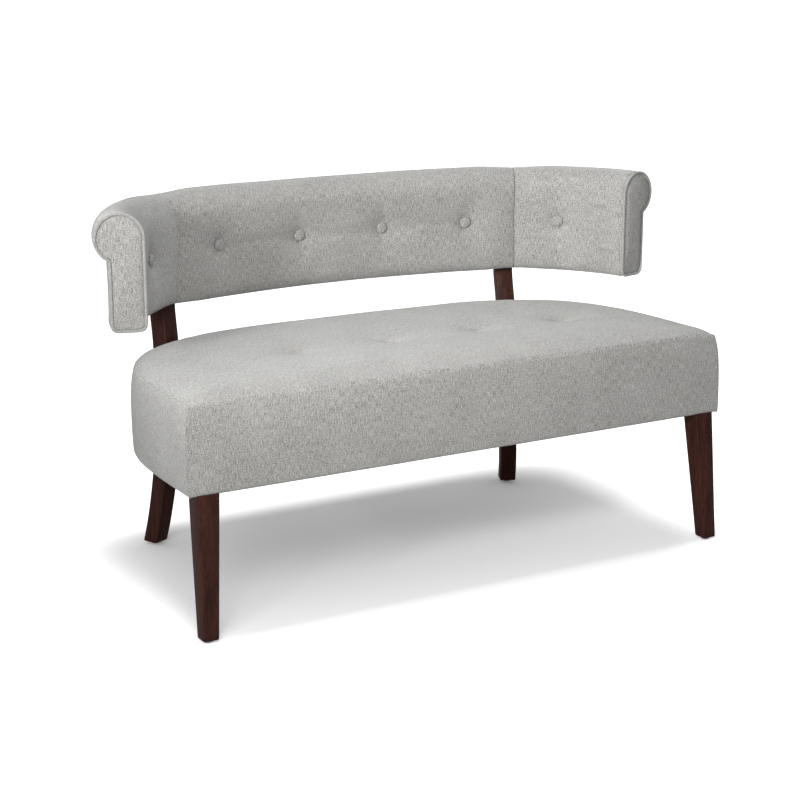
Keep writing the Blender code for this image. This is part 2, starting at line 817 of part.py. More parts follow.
def make_back_upholstery():
    """Padded inside covers with their foam: one middle panel and two wings."""
    seam = (seam_point, post_turn)
    buttons = button_distances(False)
    ends = (-seam_distance, seam_distance)
    rings = [inside_ring(back_station(at), at, buttons, ends) for at in middle_distances()]
    rings.append(inside_ring(seam, seam_distance, buttons, ends, -gap))
    loft("inside_back_cover", both_ways(rings), fabric)
    rings = [foam_ring(back_station(at), at) for at in middle_distances()]
    rings.append(foam_ring(seam, seam_distance, -gap))
    loft("back_foam", both_ways(rings), foam)
    buttons = button_distances(True)
    ends = (seam_distance, tip_distance)
    for name, side in (("left", -1), ("right", 1)):
        flip = mirror_ring if side < 0 else list
        rings = [inside_ring(seam, seam_distance, buttons, ends, gap)]
        rings += [inside_ring(back_station(at), at, buttons, ends) for at in wing_distances()]
        loft("inside_wing_cover_" + name, [flip(ring) for ring in rings], fabric)
        rings = [foam_ring(seam, seam_distance, gap)]
        rings += [foam_ring(back_station(at), at) for at in wing_distances() if at < wing_frame_end]
        rings.append(foam_ring(back_station(wing_frame_end), wing_frame_end, -gap))
        loft("wing_foam_" + name, [flip(ring) for ring in rings], foam)


def outer_ring(station, distance):
    """Section of the outside cover: from the notch down and under to the padding."""
    outer = wall_at(distance)
    top = notch_height(distance) - gap
    low = back_bottom_z
    centre = (outer - bottom_round, low + bottom_round)
    ring = [(outer, top)] + arc(*centre, bottom_round, 0, -math.pi / 2, corner_steps)
    ring += [(pad_depth + gap, low), (pad_depth + gap, low + outer_cover_wall)]
    ring += arc(*centre, bottom_round - outer_cover_wall, -math.pi / 2, 0, corner_steps - 1)
    ring.append((outer - outer_cover_wall, top))
    return [section_point(station, n, z) for n, z in ring]


def make_outside_cover():
    """One thin cover round the outside of the back, from arm face to arm face."""
    rings = [outer_ring(back_station(at), at) for at in middle_distances()]
    for direction in (seam_angle, post_turn, wing_start_angle):
        rings.append(outer_ring((seam_point, direction), seam_distance))
    rings += [outer_ring(back_station(at), at) for at in wing_distances()]
    return loft("outside_back_cover", both_ways(rings), fabric)


def outer_corner(far, low):
    """A square corner, or a chamfer where it lies in the outside cover's rounded bottom edge."""
    if low > back_bottom_z + bottom_round:
        return [(far, low)]
    return [(far + outer_cover_wall - bottom_round, low), (far, back_bottom_z + bottom_round)]


def rail_ring(station, distance, low, slide=0.0, stretch=1.0):
    """Section of a curved back rail between the padding and the outside cover."""
    near = pad_depth + gap
    far = wall_at(distance) - outer_cover_wall - gap
    top = low + back_rail_height
    corners = [(near, low)] + outer_corner(far, low)
    corners += [(far, min(top, notch_height(distance) - gap)), (near, top)]
    return [section_point(station, n * stretch, z, slide) for n, z in corners]


def make_back_frame():
    """Curved rails between and beyond the posts, a middle upright and the arm end boards."""
    low_z = back_rail_low_z
    high_z = post_top_z - back_rail_height
    lift = 1 / math.cos(post_turn - rail_end_distance / back_radius)
    for word, low in (("lower", low_z), ("upper", high_z)):
        near = [at for at in middle_distances() if at < rail_end_distance]
        rings = [rail_ring(back_station(at), at, low) for at in near]
        rings.append(rail_ring((rail_end_point, post_turn), rail_end_distance, low, 0, lift))
        loft(f"back_{word}_rail", both_ways(rings), hardwood)
        rings = [rail_ring((seam_point, post_turn), seam_distance, low, gap)]
        rings += [rail_ring(back_station(at), at, low) for at in wing_distances() if at < wing_frame_end]
        rings.append(rail_ring(back_station(wing_frame_end), wing_frame_end, low, -gap))
        for name, side in (("left", -1), ("right", 1)):
            flip = mirror_ring if side < 0 else list
            loft(f"wing_{word}_rail_{name}", [flip(ring) for ring in rings], hardwood)
    near = back_face_depth + pad_depth + gap + gap
    far = back_face_depth + back_wall - outer_cover_wall - gap - gap
    half = upright_width / 2
    corners = ((-half, near), (half, near), (half, far), (-half, far))
    outline = [(x, y + front_y) for x, y in corners]
    slab("back_upright", outline, low_z + back_rail_height + gap, high_z - gap, hardwood)
    rings = [end_board_ring(back_station(at), at) for at in (wing_frame_end, tip_distance)]
    for name, side in (("left", -1), ("right", 1)):
        flip = mirror_ring if side < 0 else list
        loft("arm_end_board_" + name, [flip(ring) for ring in rings], plywood)


def end_board_ring(station, distance):
    """P-shaped board that closes each wing inside its covers."""
    face = pad_wall + gap
    core = roll_core - gap
    far = wall_at(distance) - outer_cover_wall - gap
    low = back_rail_low_z
    end = roll_end_angle(roll_radius, wall_at(distance))
    ring = outer_corner(far, low)[::-1] + [(face, low)]
    ring += arc(roll_radius, roll_z, core, math.pi, end, core_steps)
    ring += [(roll_radius, roll_z - core), (far, notch_height(distance) - outer_cover_wall)]
    return [section_point(station, n, z) for n, z in ring]


def arm_outline(inset):
    """P-shaped outline of an arm face, in from the covers by inset."""
    radius = roll_radius - inset
    outer = tip_wall - inset
    low = back_bottom_z + inset
    corner = bottom_round - inset / 2
    outline = arc(inset + corner, low + corner, corner, -math.pi / 2, -math.pi, corner_steps)
    outline += arc(roll_radius, roll_z, radius, math.pi, roll_end_angle(radius, outer), arm_arc_steps)
    outline += arc(outer - corner, low + corner, corner, 0, -math.pi / 2, corner_steps)
    return outline


def make_arms():
    """Piping round each arm face, and the padded face panel inside it."""
    station = back_station(tip_distance)
    for name, side in (("left", -1), ("right", 1)):
        flip = mirror_ring if side < 0 else list
        path = arm_outline(welt_radius)
        rings = []
        count = len(path)
        for i in range(count):
            before = Vector(path[i]) - Vector(path[i - 1])
            after = Vector(path[(i + 1) % count]) - Vector(path[i])
            tangent = (before.normalized() + after.normalized()).normalized()
            normal = Vector((-tangent.y, tangent.x))
            widen = 1 / max(mitre_limit, before.normalized().dot(tangent))
            ring = []
            for j in range(welt_sides):
                angle = math.tau * (j + 0.5) / welt_sides
                place = Vector(path[i]) + normal * welt_radius * widen * math.cos(angle)
                slide = welt_radius + gap + welt_radius * math.sin(angle)
                ring.append(section_point(station, place.x, place.y, slide))
            rings.append(ring)
        loft("arm_welt_" + name, [flip(ring) for ring in rings], piping, closed=True)
        edge = 2 * welt_radius + 2 * gap
        slides = ((edge, gap), (edge, gap + arm_face_wall))
        slides += ((edge + arm_face_slope, gap + arm_face_wall + arm_face_crown),)
        rings = []
        for inset, slide in slides:
            rings.append([section_point(station, n, z, slide) for n, z in arm_outline(inset)])
        loft("arm_face_" + name, [flip(ring) for ring in rings], fabric)


def make_buttons():
    """Fabric-covered buttons, each on the level patch of its dimple."""
    profile = [(button_height * rise, button_radius * reach) for rise, reach in button_profile_shares]
    number = 0
    for wing in (False, True):
        for at in button_distances(wing):
            ends = [back_station(at + offset)[0] for offset in (-dimple_flat, dimple_flat)]
            point = (ends[0] + ends[1]) / 2
            angle = back_station(at)[1]
            out = Vector((math.sin(angle), math.cos(angle)))
            seat = point + out * (dimple_depth - gap)
            for side in (-1, 1):
                number += 1
                start = world((side * seat.x, seat.y), button_z)
                axis = (-side * out.x, -out.y, 0)
                turned(f"button_{number}", start, axis, profile, button_sides, fabric)


side_cover = make_seat_covers()
make_seat_top()
rear_rail = make_seat_frame()
make_front_legs()
make_back_upholstery()
outer_cover = make_outside_cover()
make_rear_legs(rear_rail, side_cover, outer_cover)
make_back_frame()
make_arms()
make_buttons()
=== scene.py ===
# %% [markdown]
# # A buttoned settee, dressed piece by piece
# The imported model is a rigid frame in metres: X runs along the seat, the front faces -Y, +Z is up.
# Everything soft is drawn here again as a fine surface, fitted over that frame.
# The hidden rails and bolts stay as they are and only get a finish.

# %% Load the frame
import json
import math

import bmesh
import bpy
import numpy as np
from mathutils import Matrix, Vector


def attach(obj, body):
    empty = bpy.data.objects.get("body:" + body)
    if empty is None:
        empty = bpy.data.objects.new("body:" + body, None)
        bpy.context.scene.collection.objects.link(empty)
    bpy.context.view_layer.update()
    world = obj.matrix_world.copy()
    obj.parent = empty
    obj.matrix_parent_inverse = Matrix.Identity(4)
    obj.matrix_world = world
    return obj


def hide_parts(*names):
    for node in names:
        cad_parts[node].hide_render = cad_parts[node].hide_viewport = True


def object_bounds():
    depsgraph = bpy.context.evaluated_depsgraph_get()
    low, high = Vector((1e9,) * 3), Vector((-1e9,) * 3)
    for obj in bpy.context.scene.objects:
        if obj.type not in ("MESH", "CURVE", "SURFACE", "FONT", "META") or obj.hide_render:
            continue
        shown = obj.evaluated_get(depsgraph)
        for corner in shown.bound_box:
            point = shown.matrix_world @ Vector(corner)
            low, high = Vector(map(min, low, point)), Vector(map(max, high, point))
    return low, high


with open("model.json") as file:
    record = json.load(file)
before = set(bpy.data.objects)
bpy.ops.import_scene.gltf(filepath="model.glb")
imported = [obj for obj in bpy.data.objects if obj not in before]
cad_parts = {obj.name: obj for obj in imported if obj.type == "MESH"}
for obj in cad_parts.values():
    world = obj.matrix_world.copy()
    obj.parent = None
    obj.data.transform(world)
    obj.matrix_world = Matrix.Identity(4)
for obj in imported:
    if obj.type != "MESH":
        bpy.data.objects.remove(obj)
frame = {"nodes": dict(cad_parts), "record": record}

cad_box = [list(corner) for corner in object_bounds()]
print("nodes:", len(frame["nodes"]), "box:", np.round(cad_box, 4).tolist())

# %% [markdown]
# ## The measurements that the surfaces share
# A curve that two pieces share, such as the seat's outline, is worked out once from these numbers.
# Depths are first counted back from the front feet, and `front_y` moves them into the frame.

# %% Shared measurements
front_y = cad_box[0][1]

seat_half_width = 0.610
seat_front = 0.022
seat_side_start = 0.060
seat_round_depth = 0.530
seat_power = 3.3
seat_low = 0.275
seat_seam = 0.442
seat_lean = 0.010

back_radius = 1.500
wing_radius = 0.333
seam_plan = np.array((0.4130, 0.5074))
seam_turn = math.radians(15.984)
mitre_turn = math.radians(23.84)
wing_turn_start = math.radians(32.0)
wing_turn_end = math.radians(75.0)
back_low = 0.5226
roll_radius = 0.04897
roll_height = 0.70403
roll_core = 0.033
back_wall = 0.08995
wing_taper = 0.019
pad_depth = 0.0415
pad_wall = 0.016
low_round = 0.014

button_height_z = 0.634
button_reach = 0.0119
button_rise = 0.0056
button_pitch_share = 0.478
wing_button_share = 0.36
welt_radius = 0.003

middle_centre = np.array((0.0, seam_plan[1] - back_radius * math.cos(seam_turn)))
wing_way = np.array((math.sin(wing_turn_start), math.cos(wing_turn_start)))
wing_centre = seam_plan - wing_radius * wing_way
seam_run = back_radius * seam_turn
tip_run = seam_run + wing_radius * (wing_turn_end - wing_turn_start)
button_pitch = seam_run * button_pitch_share
wing_button = seam_run + (tip_run - seam_run) * wing_button_share
sides = (("left", -1.0), ("right", 1.0))
print("seam at", round(seam_run, 4), "m along the back, tip at", round(tip_run, 4), "m")

# %% [markdown]
# ## From a grid of points to a mesh
# Most pieces here are one grid of points: a profile carried along a path.
# The points, the faces and the cloth coordinates come out as whole arrays, so no loop visits a vertex.
# A ring that closes on itself needs a cap at each end, and the cap shares the ring's own points.

# %% Grid to mesh
no_crease = 180.0


def finish_mesh(mesh, crease):
    """Turn every face outwards, then shade smooth except across edges sharper than the crease."""
    shape = bmesh.new()
    shape.from_mesh(mesh)
    bmesh.ops.recalc_face_normals(shape, faces=shape.faces)
    if shape.calc_volume(signed=True) < 0:
        bmesh.ops.reverse_faces(shape, faces=shape.faces)
    shape.to_mesh(mesh)
    shape.free()
    mesh.shade_smooth()
    if crease < no_crease:
        mesh.set_sharp_from_angle(angle=math.radians(crease))


def grid_faces(rows, cols, ring):
    """Four corner numbers of each cell, plus the cell's own row and column."""
    i, j = np.meshgrid(np.arange(rows - 1), np.arange(cols if ring else cols - 1), indexing="ij")
    k = (j + 1) % cols
    quads = np.stack((i * cols + j, i * cols + k, (i + 1) * cols + k, (i + 1) * cols + j), -1)
    return quads.reshape(-1, 4), i.ravel(), j.ravel()


def make_piece(name, points, faces, corner_uv, material, crease=no_crease):
    """A mesh object from points, faces and one cloth coordinate per face corner."""
    mesh = bpy.data.meshes.new(name)
    mesh.from_pydata(points.tolist(), [], faces)
    layer = mesh.uv_layers.new(name="cloth")
    layer.data.foreach_set("uv", corner_uv.astype(np.float32).ravel())
    finish_mesh(mesh, crease)
    mesh.materials.append(material)
    piece = bpy.data.objects.new(name, mesh)
    bpy.context.collection.objects.link(piece)
    return piece


def carried(name, rings, uv, material, crease=no_crease, capped=True):
    """Join closed rings (rows, columns, xyz) along a path and cap both ends.

    uv has one column more than the rings, for the cell that closes each ring.
    """
    rows, cols = rings.shape[:2]
    quads, i, j = grid_faces(rows, cols, True)
    corners = np.stack((uv[i, j], uv[i, j + 1], uv[i + 1, j + 1], uv[i + 1, j]), 1).reshape(-1, 2)
    faces = quads.tolist()
    if capped:
        for row in (0, rows - 1):
            faces.append(list(range(row * cols, row * cols + cols)))
            flat = np.stack((rings[row, :, 0] + rings[row, :, 1], rings[row, :, 2]), -1)
            corners = np.concatenate((corners, flat))
    return make_piece(name, rings.reshape(-1, 3), faces, corners, material, crease)


def gathered(name, rings, peak, flat, material, backed=False):
    """Join rings that shrink towards one point, close them there with a fan, and back them if asked.

    flat holds one cloth coordinate for each point of the rings and one for the peak.
    """
    rows, cols = rings.shape[:2]
    points = np.concatenate((rings.reshape(-1, 3), peak))
    quads, _, _ = grid_faces(rows, cols, True)
    k = np.arange(cols)
    last = (rows - 1) * cols
    fan = np.stack((last + k, last + (k + 1) % cols, np.full(cols, len(points) - 1)), -1)
    faces = quads.tolist() + fan.tolist()
    order = np.concatenate((quads.ravel(), fan.ravel()))
    if backed:
        faces.append(k.tolist())
        order = np.concatenate((order, k))
    return make_piece(name, points, faces, flat[order], material)


def run_length(points, axis=0):
    """Distance travelled along a row of points, starting from nought."""
    step = np.linalg.norm(np.diff(points, axis=axis), axis=-1)
    start = np.zeros_like(np.take(step, [0], axis=axis))
    return np.concatenate((start, np.cumsum(step, axis=axis)), axis=axis)


def smooth(share):
    """Ease from 0 to 1: three share squared less two share cubed."""
    share = np.clip(share, 0.0, 1.0)
    return share * share * (3 - 2 * share)


def bell(distance, width):
    """One at nought, falling off on both sides as the power e to minus the square of distance over width."""
    return np.exp(-(distance / width) ** 2)


def to_frame(x, y, z):
    """Plan points counted from the front feet become points of the frame."""
    x, y, z = np.broadcast_arrays(x, y, z)
    return np.stack((x, y + front_y, z), -1)


# %% [markdown]
# ## The camera
# The camera looks down a little from the left of the front, with a long lens, as in the photograph.
# It is made early, so that every piece can be looked at as it is added.

# %% Camera
camera_place = to_frame(-1.8311, -2.8260, 1.2507)
camera_way = (0.48743, 0.83683, -0.24924)

camera_data = bpy.data.cameras.new("camera")
camera_data.lens = 81.0
camera_data.sensor_width = 36.0
camera = bpy.data.objects.new("camera", camera_data)
camera.location = camera_place
camera.rotation_mode = "QUATERNION"
camera.rotation_quaternion = Vector(camera_way).to_track_quat("-Z", "Y")
bpy.context.collection.objects.link(camera)
bpy.context.scene.camera = camera
print("camera lens:", camera_data.lens, "mm")

# %% [markdown]
# ## Finishes: small node tools
# A finish is a shader with a few patterns in front of it. Short helpers keep the node code readable:
# they add a node and plug or set its inputs, do one step of arithmetic, or start and place a node group.

# %% Node helpers
def plug(tree, socket, value):
    """Link the value into the socket if it comes from a node, or else set it there."""
    if isinstance(value, bpy.types.NodeSocket):
        tree.links.new(value, socket)
    else:
        socket.default_value = value


def add_node(tree, kind, settings=None, **inputs):
    """Add a node, set its options, then plug or set its inputs by name, or by number as n0, n1 and on."""
    node = tree.nodes.new(kind)
    for option, value in (settings or {}).items():
        setattr(node, option, value)
    for key, value in inputs.items():
        by_number = key[0] == "n" and key[1:].isdigit()
        plug(tree, node.inputs[int(key[1:]) if by_number else key], value)
    return node


def calculate(tree, operation, a, b=0.0):
    """One step of arithmetic on two values."""
    return add_node(tree, "ShaderNodeMath", {"operation": operation}, n0=a, n1=b).outputs[0]


def weighed(tree, start, *terms):
    """The start value plus each further value times its weight."""
    total = start
    for value, weight in terms:
        total = calculate(tree, "ADD", total, calculate(tree, "MULTIPLY", value, weight))
    return total


def map_range(tree, value, low, high, to_low=0.0, to_high=1.0, settings=None):
    """Stretch a value's range from low and high to two other ends."""
    return add_node(tree, "ShaderNodeMapRange", settings, n0=value, n1=low, n2=high, n3=to_low,
                    n4=to_high).outputs[0]


def mix_colour(tree, factor, a, b):
    """Blend two plain colours (red, green, blue) by a factor."""
    node = tree.nodes.new("ShaderNodeMix")
    node.data_type = "RGBA"
    factor_socket, first_colour, second_colour = (node.inputs[number] for number in (0, 6, 7))
    plug(tree, factor_socket, factor)
    plug(tree, first_colour, (*a, 1.0))
    plug(tree, second_colour, (*b, 1.0))
    return node.outputs[2]


def start_group(name, inputs, outputs):
    """A node group with named sockets; each input is a (name, kind, value) row."""
    group = bpy.data.node_groups.new(name, "ShaderNodeTree")
    for socket_name, kind, value in inputs:
        socket = group.interface.new_socket(socket_name, in_out="INPUT", socket_type=kind)
        if value is not None:
            socket.default_value = value
    for socket_name in outputs:
        group.interface.new_socket(socket_name, in_out="OUTPUT", socket_type="NodeSocketFloat")
    return group, group.nodes.new("NodeGroupInput"), group.nodes.new("NodeGroupOutput")


def place_group(tree, group, **inputs):
    """Put a node group into a material and set its inputs."""
    node = tree.nodes.new("ShaderNodeGroup")
    node.node_tree = group
    for key, value in inputs.items():
        plug(tree, node.inputs[key], value)
    return node


def start_material(name, **constants):
    """A material with its shader and output; constants set the shader's sockets, _ standing for a space."""
    material = bpy.data.materials.new(name)
    material.use_nodes = True
    shader = material.node_tree.nodes["Principled BSDF"]
    for key, value in constants.items():
        shader.inputs[key.replace("_", " ")].default_value = value
    return material, material.node_tree, shader


# %% [markdown]
# ## The cloth
# The settee wears a light grey chenille. Seen close, short ribs run up the cloth and finer weft crosses
# them. From a step away only slubs show: thick and thin places in the yarn, drawn out along the ribs.
# The pattern reads the cloth coordinates that each piece carries in metres, so it bends with the piece
# and keeps one scale everywhere.

# %% Chenille weave group
slub_scale = (560.0, 72.0)
grain_scale = (480.0, 380.0)
wander_scale = (160.0, 30.0)
wander_weight = 2.4
weft_relief, grain_relief, slub_relief = 0.45, 3.2, 2.2

weave, weave_in, weave_out = start_group(
    "chenille weave",
    [("Cloth", "NodeSocketVector", None), ("Pitch", "NodeSocketFloat", 0.0016)],
    ["Slub", "Grain", "Relief"],
)


def stretched_noise(tree, cloth, scale, detail=1.0, roughness=0.6):
    """Noise whose spots are drawn out by unlike scales across and along the cloth."""
    mapped = add_node(tree, "ShaderNodeMapping", Vector=cloth, Scale=(*scale, 1.0))
    noise = add_node(tree, "ShaderNodeTexNoise", Vector=mapped.outputs[0], Scale=1.0, Detail=detail,
                     Roughness=roughness)
    return noise.outputs[0]


cloth_socket = weave_in.outputs["Cloth"]
slub = stretched_noise(weave, cloth_socket, slub_scale)
grain = stretched_noise(weave, cloth_socket, grain_scale)
split = add_node(weave, "ShaderNodeSeparateXYZ", Vector=cloth_socket)
wander = calculate(weave, "MULTIPLY", stretched_noise(weave, cloth_socket, wander_scale), wander_weight)
turns = calculate(weave, "DIVIDE", math.tau, weave_in.outputs["Pitch"])
across = calculate(weave, "ADD", calculate(weave, "MULTIPLY", split.outputs[0], turns), wander)
along = calculate(weave, "ADD", calculate(weave, "MULTIPLY", split.outputs[1], turns), wander)
relief = weighed(weave, calculate(weave, "SINE", across), (calculate(weave, "SINE", along), weft_relief),
                 (grain, grain_relief), (slub, slub_relief))
for socket_name, value in (("Slub", slub), ("Grain", grain), ("Relief", relief)):
    weave.links.new(value, weave_out.inputs[socket_name])
print("weave group sockets:", [item.name for item in weave.interface.items_tree])

# %% [markdown]
# A cloth material chooses between two greys by slub and grain, with two slower patterns for the nap and
# for wear. Sheen gives the pale bloom that chenille has where it turns away, and the relief drives a
# small bump.

# %% Cloth materials
cloud_scale, nap_scale = (14.0, 9.0), (85.0, 60.0)
slub_weight, grain_weight, cloud_weight, nap_weight = 1.15, 1.65, 0.26, 0.16
tone_low, tone_high = 1.08, 2.14
weave_relief = 0.00035


def make_cloth(name, dark, light, pitch, bump, sheen=0.35):
    """Chenille in two greys: slub and grain choose between them, nap and cloud shade them slowly."""
    material, tree, shader = start_material(name, Roughness=0.92, Specular_IOR_Level=0.18,
                                            Sheen_Weight=sheen, Sheen_Roughness=0.5)
    cloth = add_node(tree, "ShaderNodeUVMap", {"uv_map": "cloth"}).outputs[0]
    threads = place_group(tree, weave, Cloth=cloth, Pitch=pitch)
    cloud = stretched_noise(tree, cloth, cloud_scale, 2.0, 0.5)
    nap = stretched_noise(tree, cloth, nap_scale, 3.0, 0.65)
    tone = weighed(tree, calculate(tree, "MULTIPLY", threads.outputs["Slub"], slub_weight),
                   (threads.outputs["Grain"], grain_weight), (cloud, cloud_weight), (nap, nap_weight))
    share = map_range(tree, tone, tone_low, tone_high, settings={"clamp": True})
    tree.links.new(mix_colour(tree, share, dark, light), shader.inputs["Base Color"])
    bump_node = add_node(tree, "ShaderNodeBump", Height=threads.outputs["Relief"],
                         Distance=weave_relief, Strength=bump)
    tree.links.new(bump_node.outputs[0], shader.inputs["Normal"])
    return material


chenille = make_cloth("grey chenille", dark=(0.087, 0.085, 0.078), light=(0.412, 0.406, 0.389),
                      pitch=0.0016, bump=0.55)
piping_cloth = make_cloth("piping cloth", dark=(0.105, 0.103, 0.097), light=(0.380, 0.374, 0.360),
                          pitch=0.0013, bump=0.4)
lining_cloth = make_cloth("black lining", dark=(0.010, 0.010, 0.011), light=(0.022, 0.022, 0.023),
                          pitch=0.0011, bump=0.3, sheen=0.1)
foam_stuff = make_cloth("foam", dark=(0.62, 0.57, 0.42), light=(0.78, 0.73, 0.58),
                        pitch=0.0030, bump=0.5, sheen=0.0)
print("cloths:", chenille.name, piping_cloth.name, lining_cloth.name, foam_stuff.name)

# %% [markdown]
# ## The wood
# The legs are a hard wood under a dark espresso stain and satin lacquer. The stain leaves the grain just
# visible, with a reddish tone where the light reaches it. Grain is noise drawn out along the leg, and
# pores are the same noise made finer.

# %% Grain group and woods
pore_across, pore_along = 9.0, 4.0
figure_low, figure_high = 0.34, 0.70
pore_low, pore_high = 0.30, 0.62
gloss_down, gloss_up = 0.05, 0.07
pore_relief, pore_bump = 0.0002, 0.12

grain_group, grain_in, grain_out = start_group(
    "wood grain",
    [("Place", "NodeSocketVector", None), ("Across", "NodeSocketFloat", 90.0),
     ("Along", "NodeSocketFloat", 6.0)],
    ["Figure", "Pores"],
)
split = add_node(grain_group, "ShaderNodeSeparateXYZ", Vector=grain_in.outputs["Place"])


def grain_place(across_scale, along_scale):
    """Object coordinates squeezed along the grain, which runs up the piece."""
    x, y, z = (calculate(grain_group, "MULTIPLY", split.outputs[number], scale)
               for number, scale in enumerate((across_scale, across_scale, along_scale)))
    return add_node(grain_group, "ShaderNodeCombineXYZ", X=x, Y=y, Z=z).outputs[0]


grain_across, grain_along = grain_in.outputs["Across"], grain_in.outputs["Along"]
figure = add_node(grain_group, "ShaderNodeTexNoise", Scale=1.0, Detail=4.0, Roughness=0.62,
                  Distortion=0.6, Vector=grain_place(grain_across, grain_along))
fine_across = calculate(grain_group, "MULTIPLY", grain_across, pore_across)
fine_along = calculate(grain_group, "MULTIPLY", grain_along, pore_along)
pores = add_node(grain_group, "ShaderNodeTexNoise", Scale=1.0, Detail=2.0, Roughness=0.5,
                 Vector=grain_place(fine_across, fine_along))
grain_group.links.new(figure.outputs[0], grain_out.inputs["Figure"])
grain_group.links.new(pores.outputs[0], grain_out.inputs["Pores"])


def make_wood(name, dark, light, roughness, coat, across=90.0, along=6.0):
    """Wood in two tones; the coat is the clear lacquer on top."""
    material, tree, shader = start_material(name, Coat_Weight=coat, Coat_Roughness=0.28,
                                            Specular_IOR_Level=0.14)
    place = add_node(tree, "ShaderNodeTexCoord").outputs["Object"]
    lines = place_group(tree, grain_group, Place=place, Across=across, Along=along)
    line_figure, line_pores = lines.outputs["Figure"], lines.outputs["Pores"]
    share = map_range(tree, line_figure, figure_low, figure_high, settings={"clamp": True})
    pore_share = map_range(tree, line_pores, pore_low, pore_high, settings={"clamp": True})
    tone = calculate(tree, "MULTIPLY", share, pore_share)
    tree.links.new(mix_colour(tree, tone, dark, light), shader.inputs["Base Color"])
    bump_node = add_node(tree, "ShaderNodeBump", Height=line_pores, Distance=pore_relief,
                         Strength=pore_bump)
    tree.links.new(bump_node.outputs[0], shader.inputs["Normal"])
    dull = map_range(tree, line_figure, 0.0, 1.0, roughness - gloss_down, roughness + gloss_up)
    tree.links.new(dull, shader.inputs["Roughness"])
    return material


espresso = make_wood("espresso lacquered wood", dark=(0.018, 0.0052, 0.0036), light=(0.062, 0.018, 0.011),
                     roughness=0.42, coat=0.04)
frame_wood = make_wood("sawn frame wood", dark=(0.30, 0.19, 0.10), light=(0.52, 0.37, 0.22),
                       roughness=0.75, coat=0.0, across=60.0, along=60.0)
plywood = make_wood("plywood", dark=(0.40, 0.28, 0.16), light=(0.62, 0.48, 0.31),
                    roughness=0.75, coat=0.0, across=30.0, along=120.0)
print("woods:", espresso.name, frame_wood.name, plywood.name)

# %% [markdown]
# ## The metal
# The glides and bolts are zinc plated. Fine scratches break the shine a little.

# %% Zinc
zinc, zinc_tree, zinc_shader = start_material("zinc plate", Metallic=1.0)
zinc_place = add_node(zinc_tree, "ShaderNodeTexCoord").outputs["Object"]
scratches = add_node(zinc_tree, "ShaderNodeTexNoise", Vector=zinc_place, Scale=900.0, Detail=3.0).outputs[0]
zinc_dull = map_range(zinc_tree, scratches, 0.0, 1.0, 0.25, 0.5)
zinc_tree.links.new(zinc_dull, zinc_shader.inputs["Roughness"])
zinc_tone = mix_colour(zinc_tree, scratches, (0.42, 0.42, 0.43), (0.66, 0.66, 0.68))
zinc_tree.links.new(zinc_tone, zinc_shader.inputs["Base Color"])
print("metal:", zinc.name)

# %% [markdown]
# ## How the padding swells
# Upholstery is cloth pulled over foam: it stands proud between the places where it is sewn or buttoned
# down. Blender's Cloth shows this well. Pressure pushes from inside, the sewn points are held, and twenty
# frames are enough. The movement is capped, so that the piece keeps its size.

# %% Cloth pressure
swell_frames = 20
weight_steps = 10
cloth_stiffness = 6.0
refine_levels = 1


def swell(piece, held, cap, pressure):
    """Blow the piece up for some frames with the held points (0 to 1) fixed, then cap each move.

    A move of some size becomes the cap times the hyperbolic tangent of size over cap.
    """
    mesh = piece.data
    rest = np.empty(len(mesh.vertices) * 3, np.float32)
    mesh.vertices.foreach_get("co", rest)
    rest = rest.reshape(-1, 3)
    group = piece.vertex_groups.new(name="held")
    weights = np.round(held.ravel() * weight_steps) / weight_steps
    for weight in np.unique(weights[weights > 0]):
        group.add(np.flatnonzero(weights == weight).tolist(), float(weight), "REPLACE")
    cloth = piece.modifiers.new("Cloth", "CLOTH")
    cloth.settings.vertex_group_mass = group.name
    cloth.settings.quality = 2
    cloth.settings.bending_model = "LINEAR"
    cloth.settings.mass = 0.3
    cloth.settings.tension_stiffness = cloth_stiffness
    cloth.settings.compression_stiffness = cloth_stiffness
    cloth.settings.shear_stiffness = cloth_stiffness / 2
    cloth.settings.bending_stiffness = 2.0
    cloth.settings.use_pressure = True
    cloth.settings.uniform_pressure_force = pressure
    cloth.settings.effector_weights.gravity = 0.0
    cloth.collision_settings.use_collision = False
    cloth.point_cache.frame_start = 1
    cloth.point_cache.frame_end = swell_frames
    for number in range(1, swell_frames + 1):
        bpy.context.scene.frame_set(number)
    shown = piece.evaluated_get(bpy.context.evaluated_depsgraph_get()).to_mesh()
    moved = np.empty(len(shown.vertices) * 3, np.float32)
    shown.vertices.foreach_get("co", moved)
    shift = moved.reshape(-1, 3) - rest
    size = np.linalg.norm(shift, axis=1, keepdims=True) + 1e-9
    rest += shift / size * cap * np.tanh(size / cap)
    piece.modifiers.remove(cloth)
    piece.vertex_groups.remove(group)
    mesh.vertices.foreach_set("co", rest.ravel())
    mesh.update()
    bpy.context.scene.frame_set(1)
    print(piece.name, "swelled by up to", round(float(np.tanh(size / cap).max() * cap) * 1000, 1), "mm")


def refine(piece):
    """One level of subdivision, the same in the view and in the render."""
    subdivision = piece.modifiers.new("Subdivision", "SUBSURF")
    subdivision.levels = refine_levels
    subdivision.render_levels = refine_levels


# %% [markdown]
# ## The seat's outline
# From above the seat is a D: a straight front and one full curve round the sides and back.
# The curve is a superellipse, which is an ellipse with the powers of two replaced by a higher one.

# %% Seat outline
outline_points = 1600
band_draw = (0.002, 0.009)
panel_draw = (0.0015, 0.0045)
mitre_start = 0.0006


def wall_draw(z, draw_low, draw_high):
    """Draw-in at a height: a square below the middle of the wall and a cube above it."""
    level = 2 * (z - seat_low) / (seat_seam - seat_low) - 1
    return np.where(level < 0, draw_low * level ** 2, draw_high * np.abs(level) ** 3)


def mitred(inset, z, draw, away):
    """Let the wall's thickness grow from the corner, so that two walls meet on a slant."""
    outside = wall_draw(z, *draw)
    return outside + np.minimum(inset - outside, mitre_start + away)


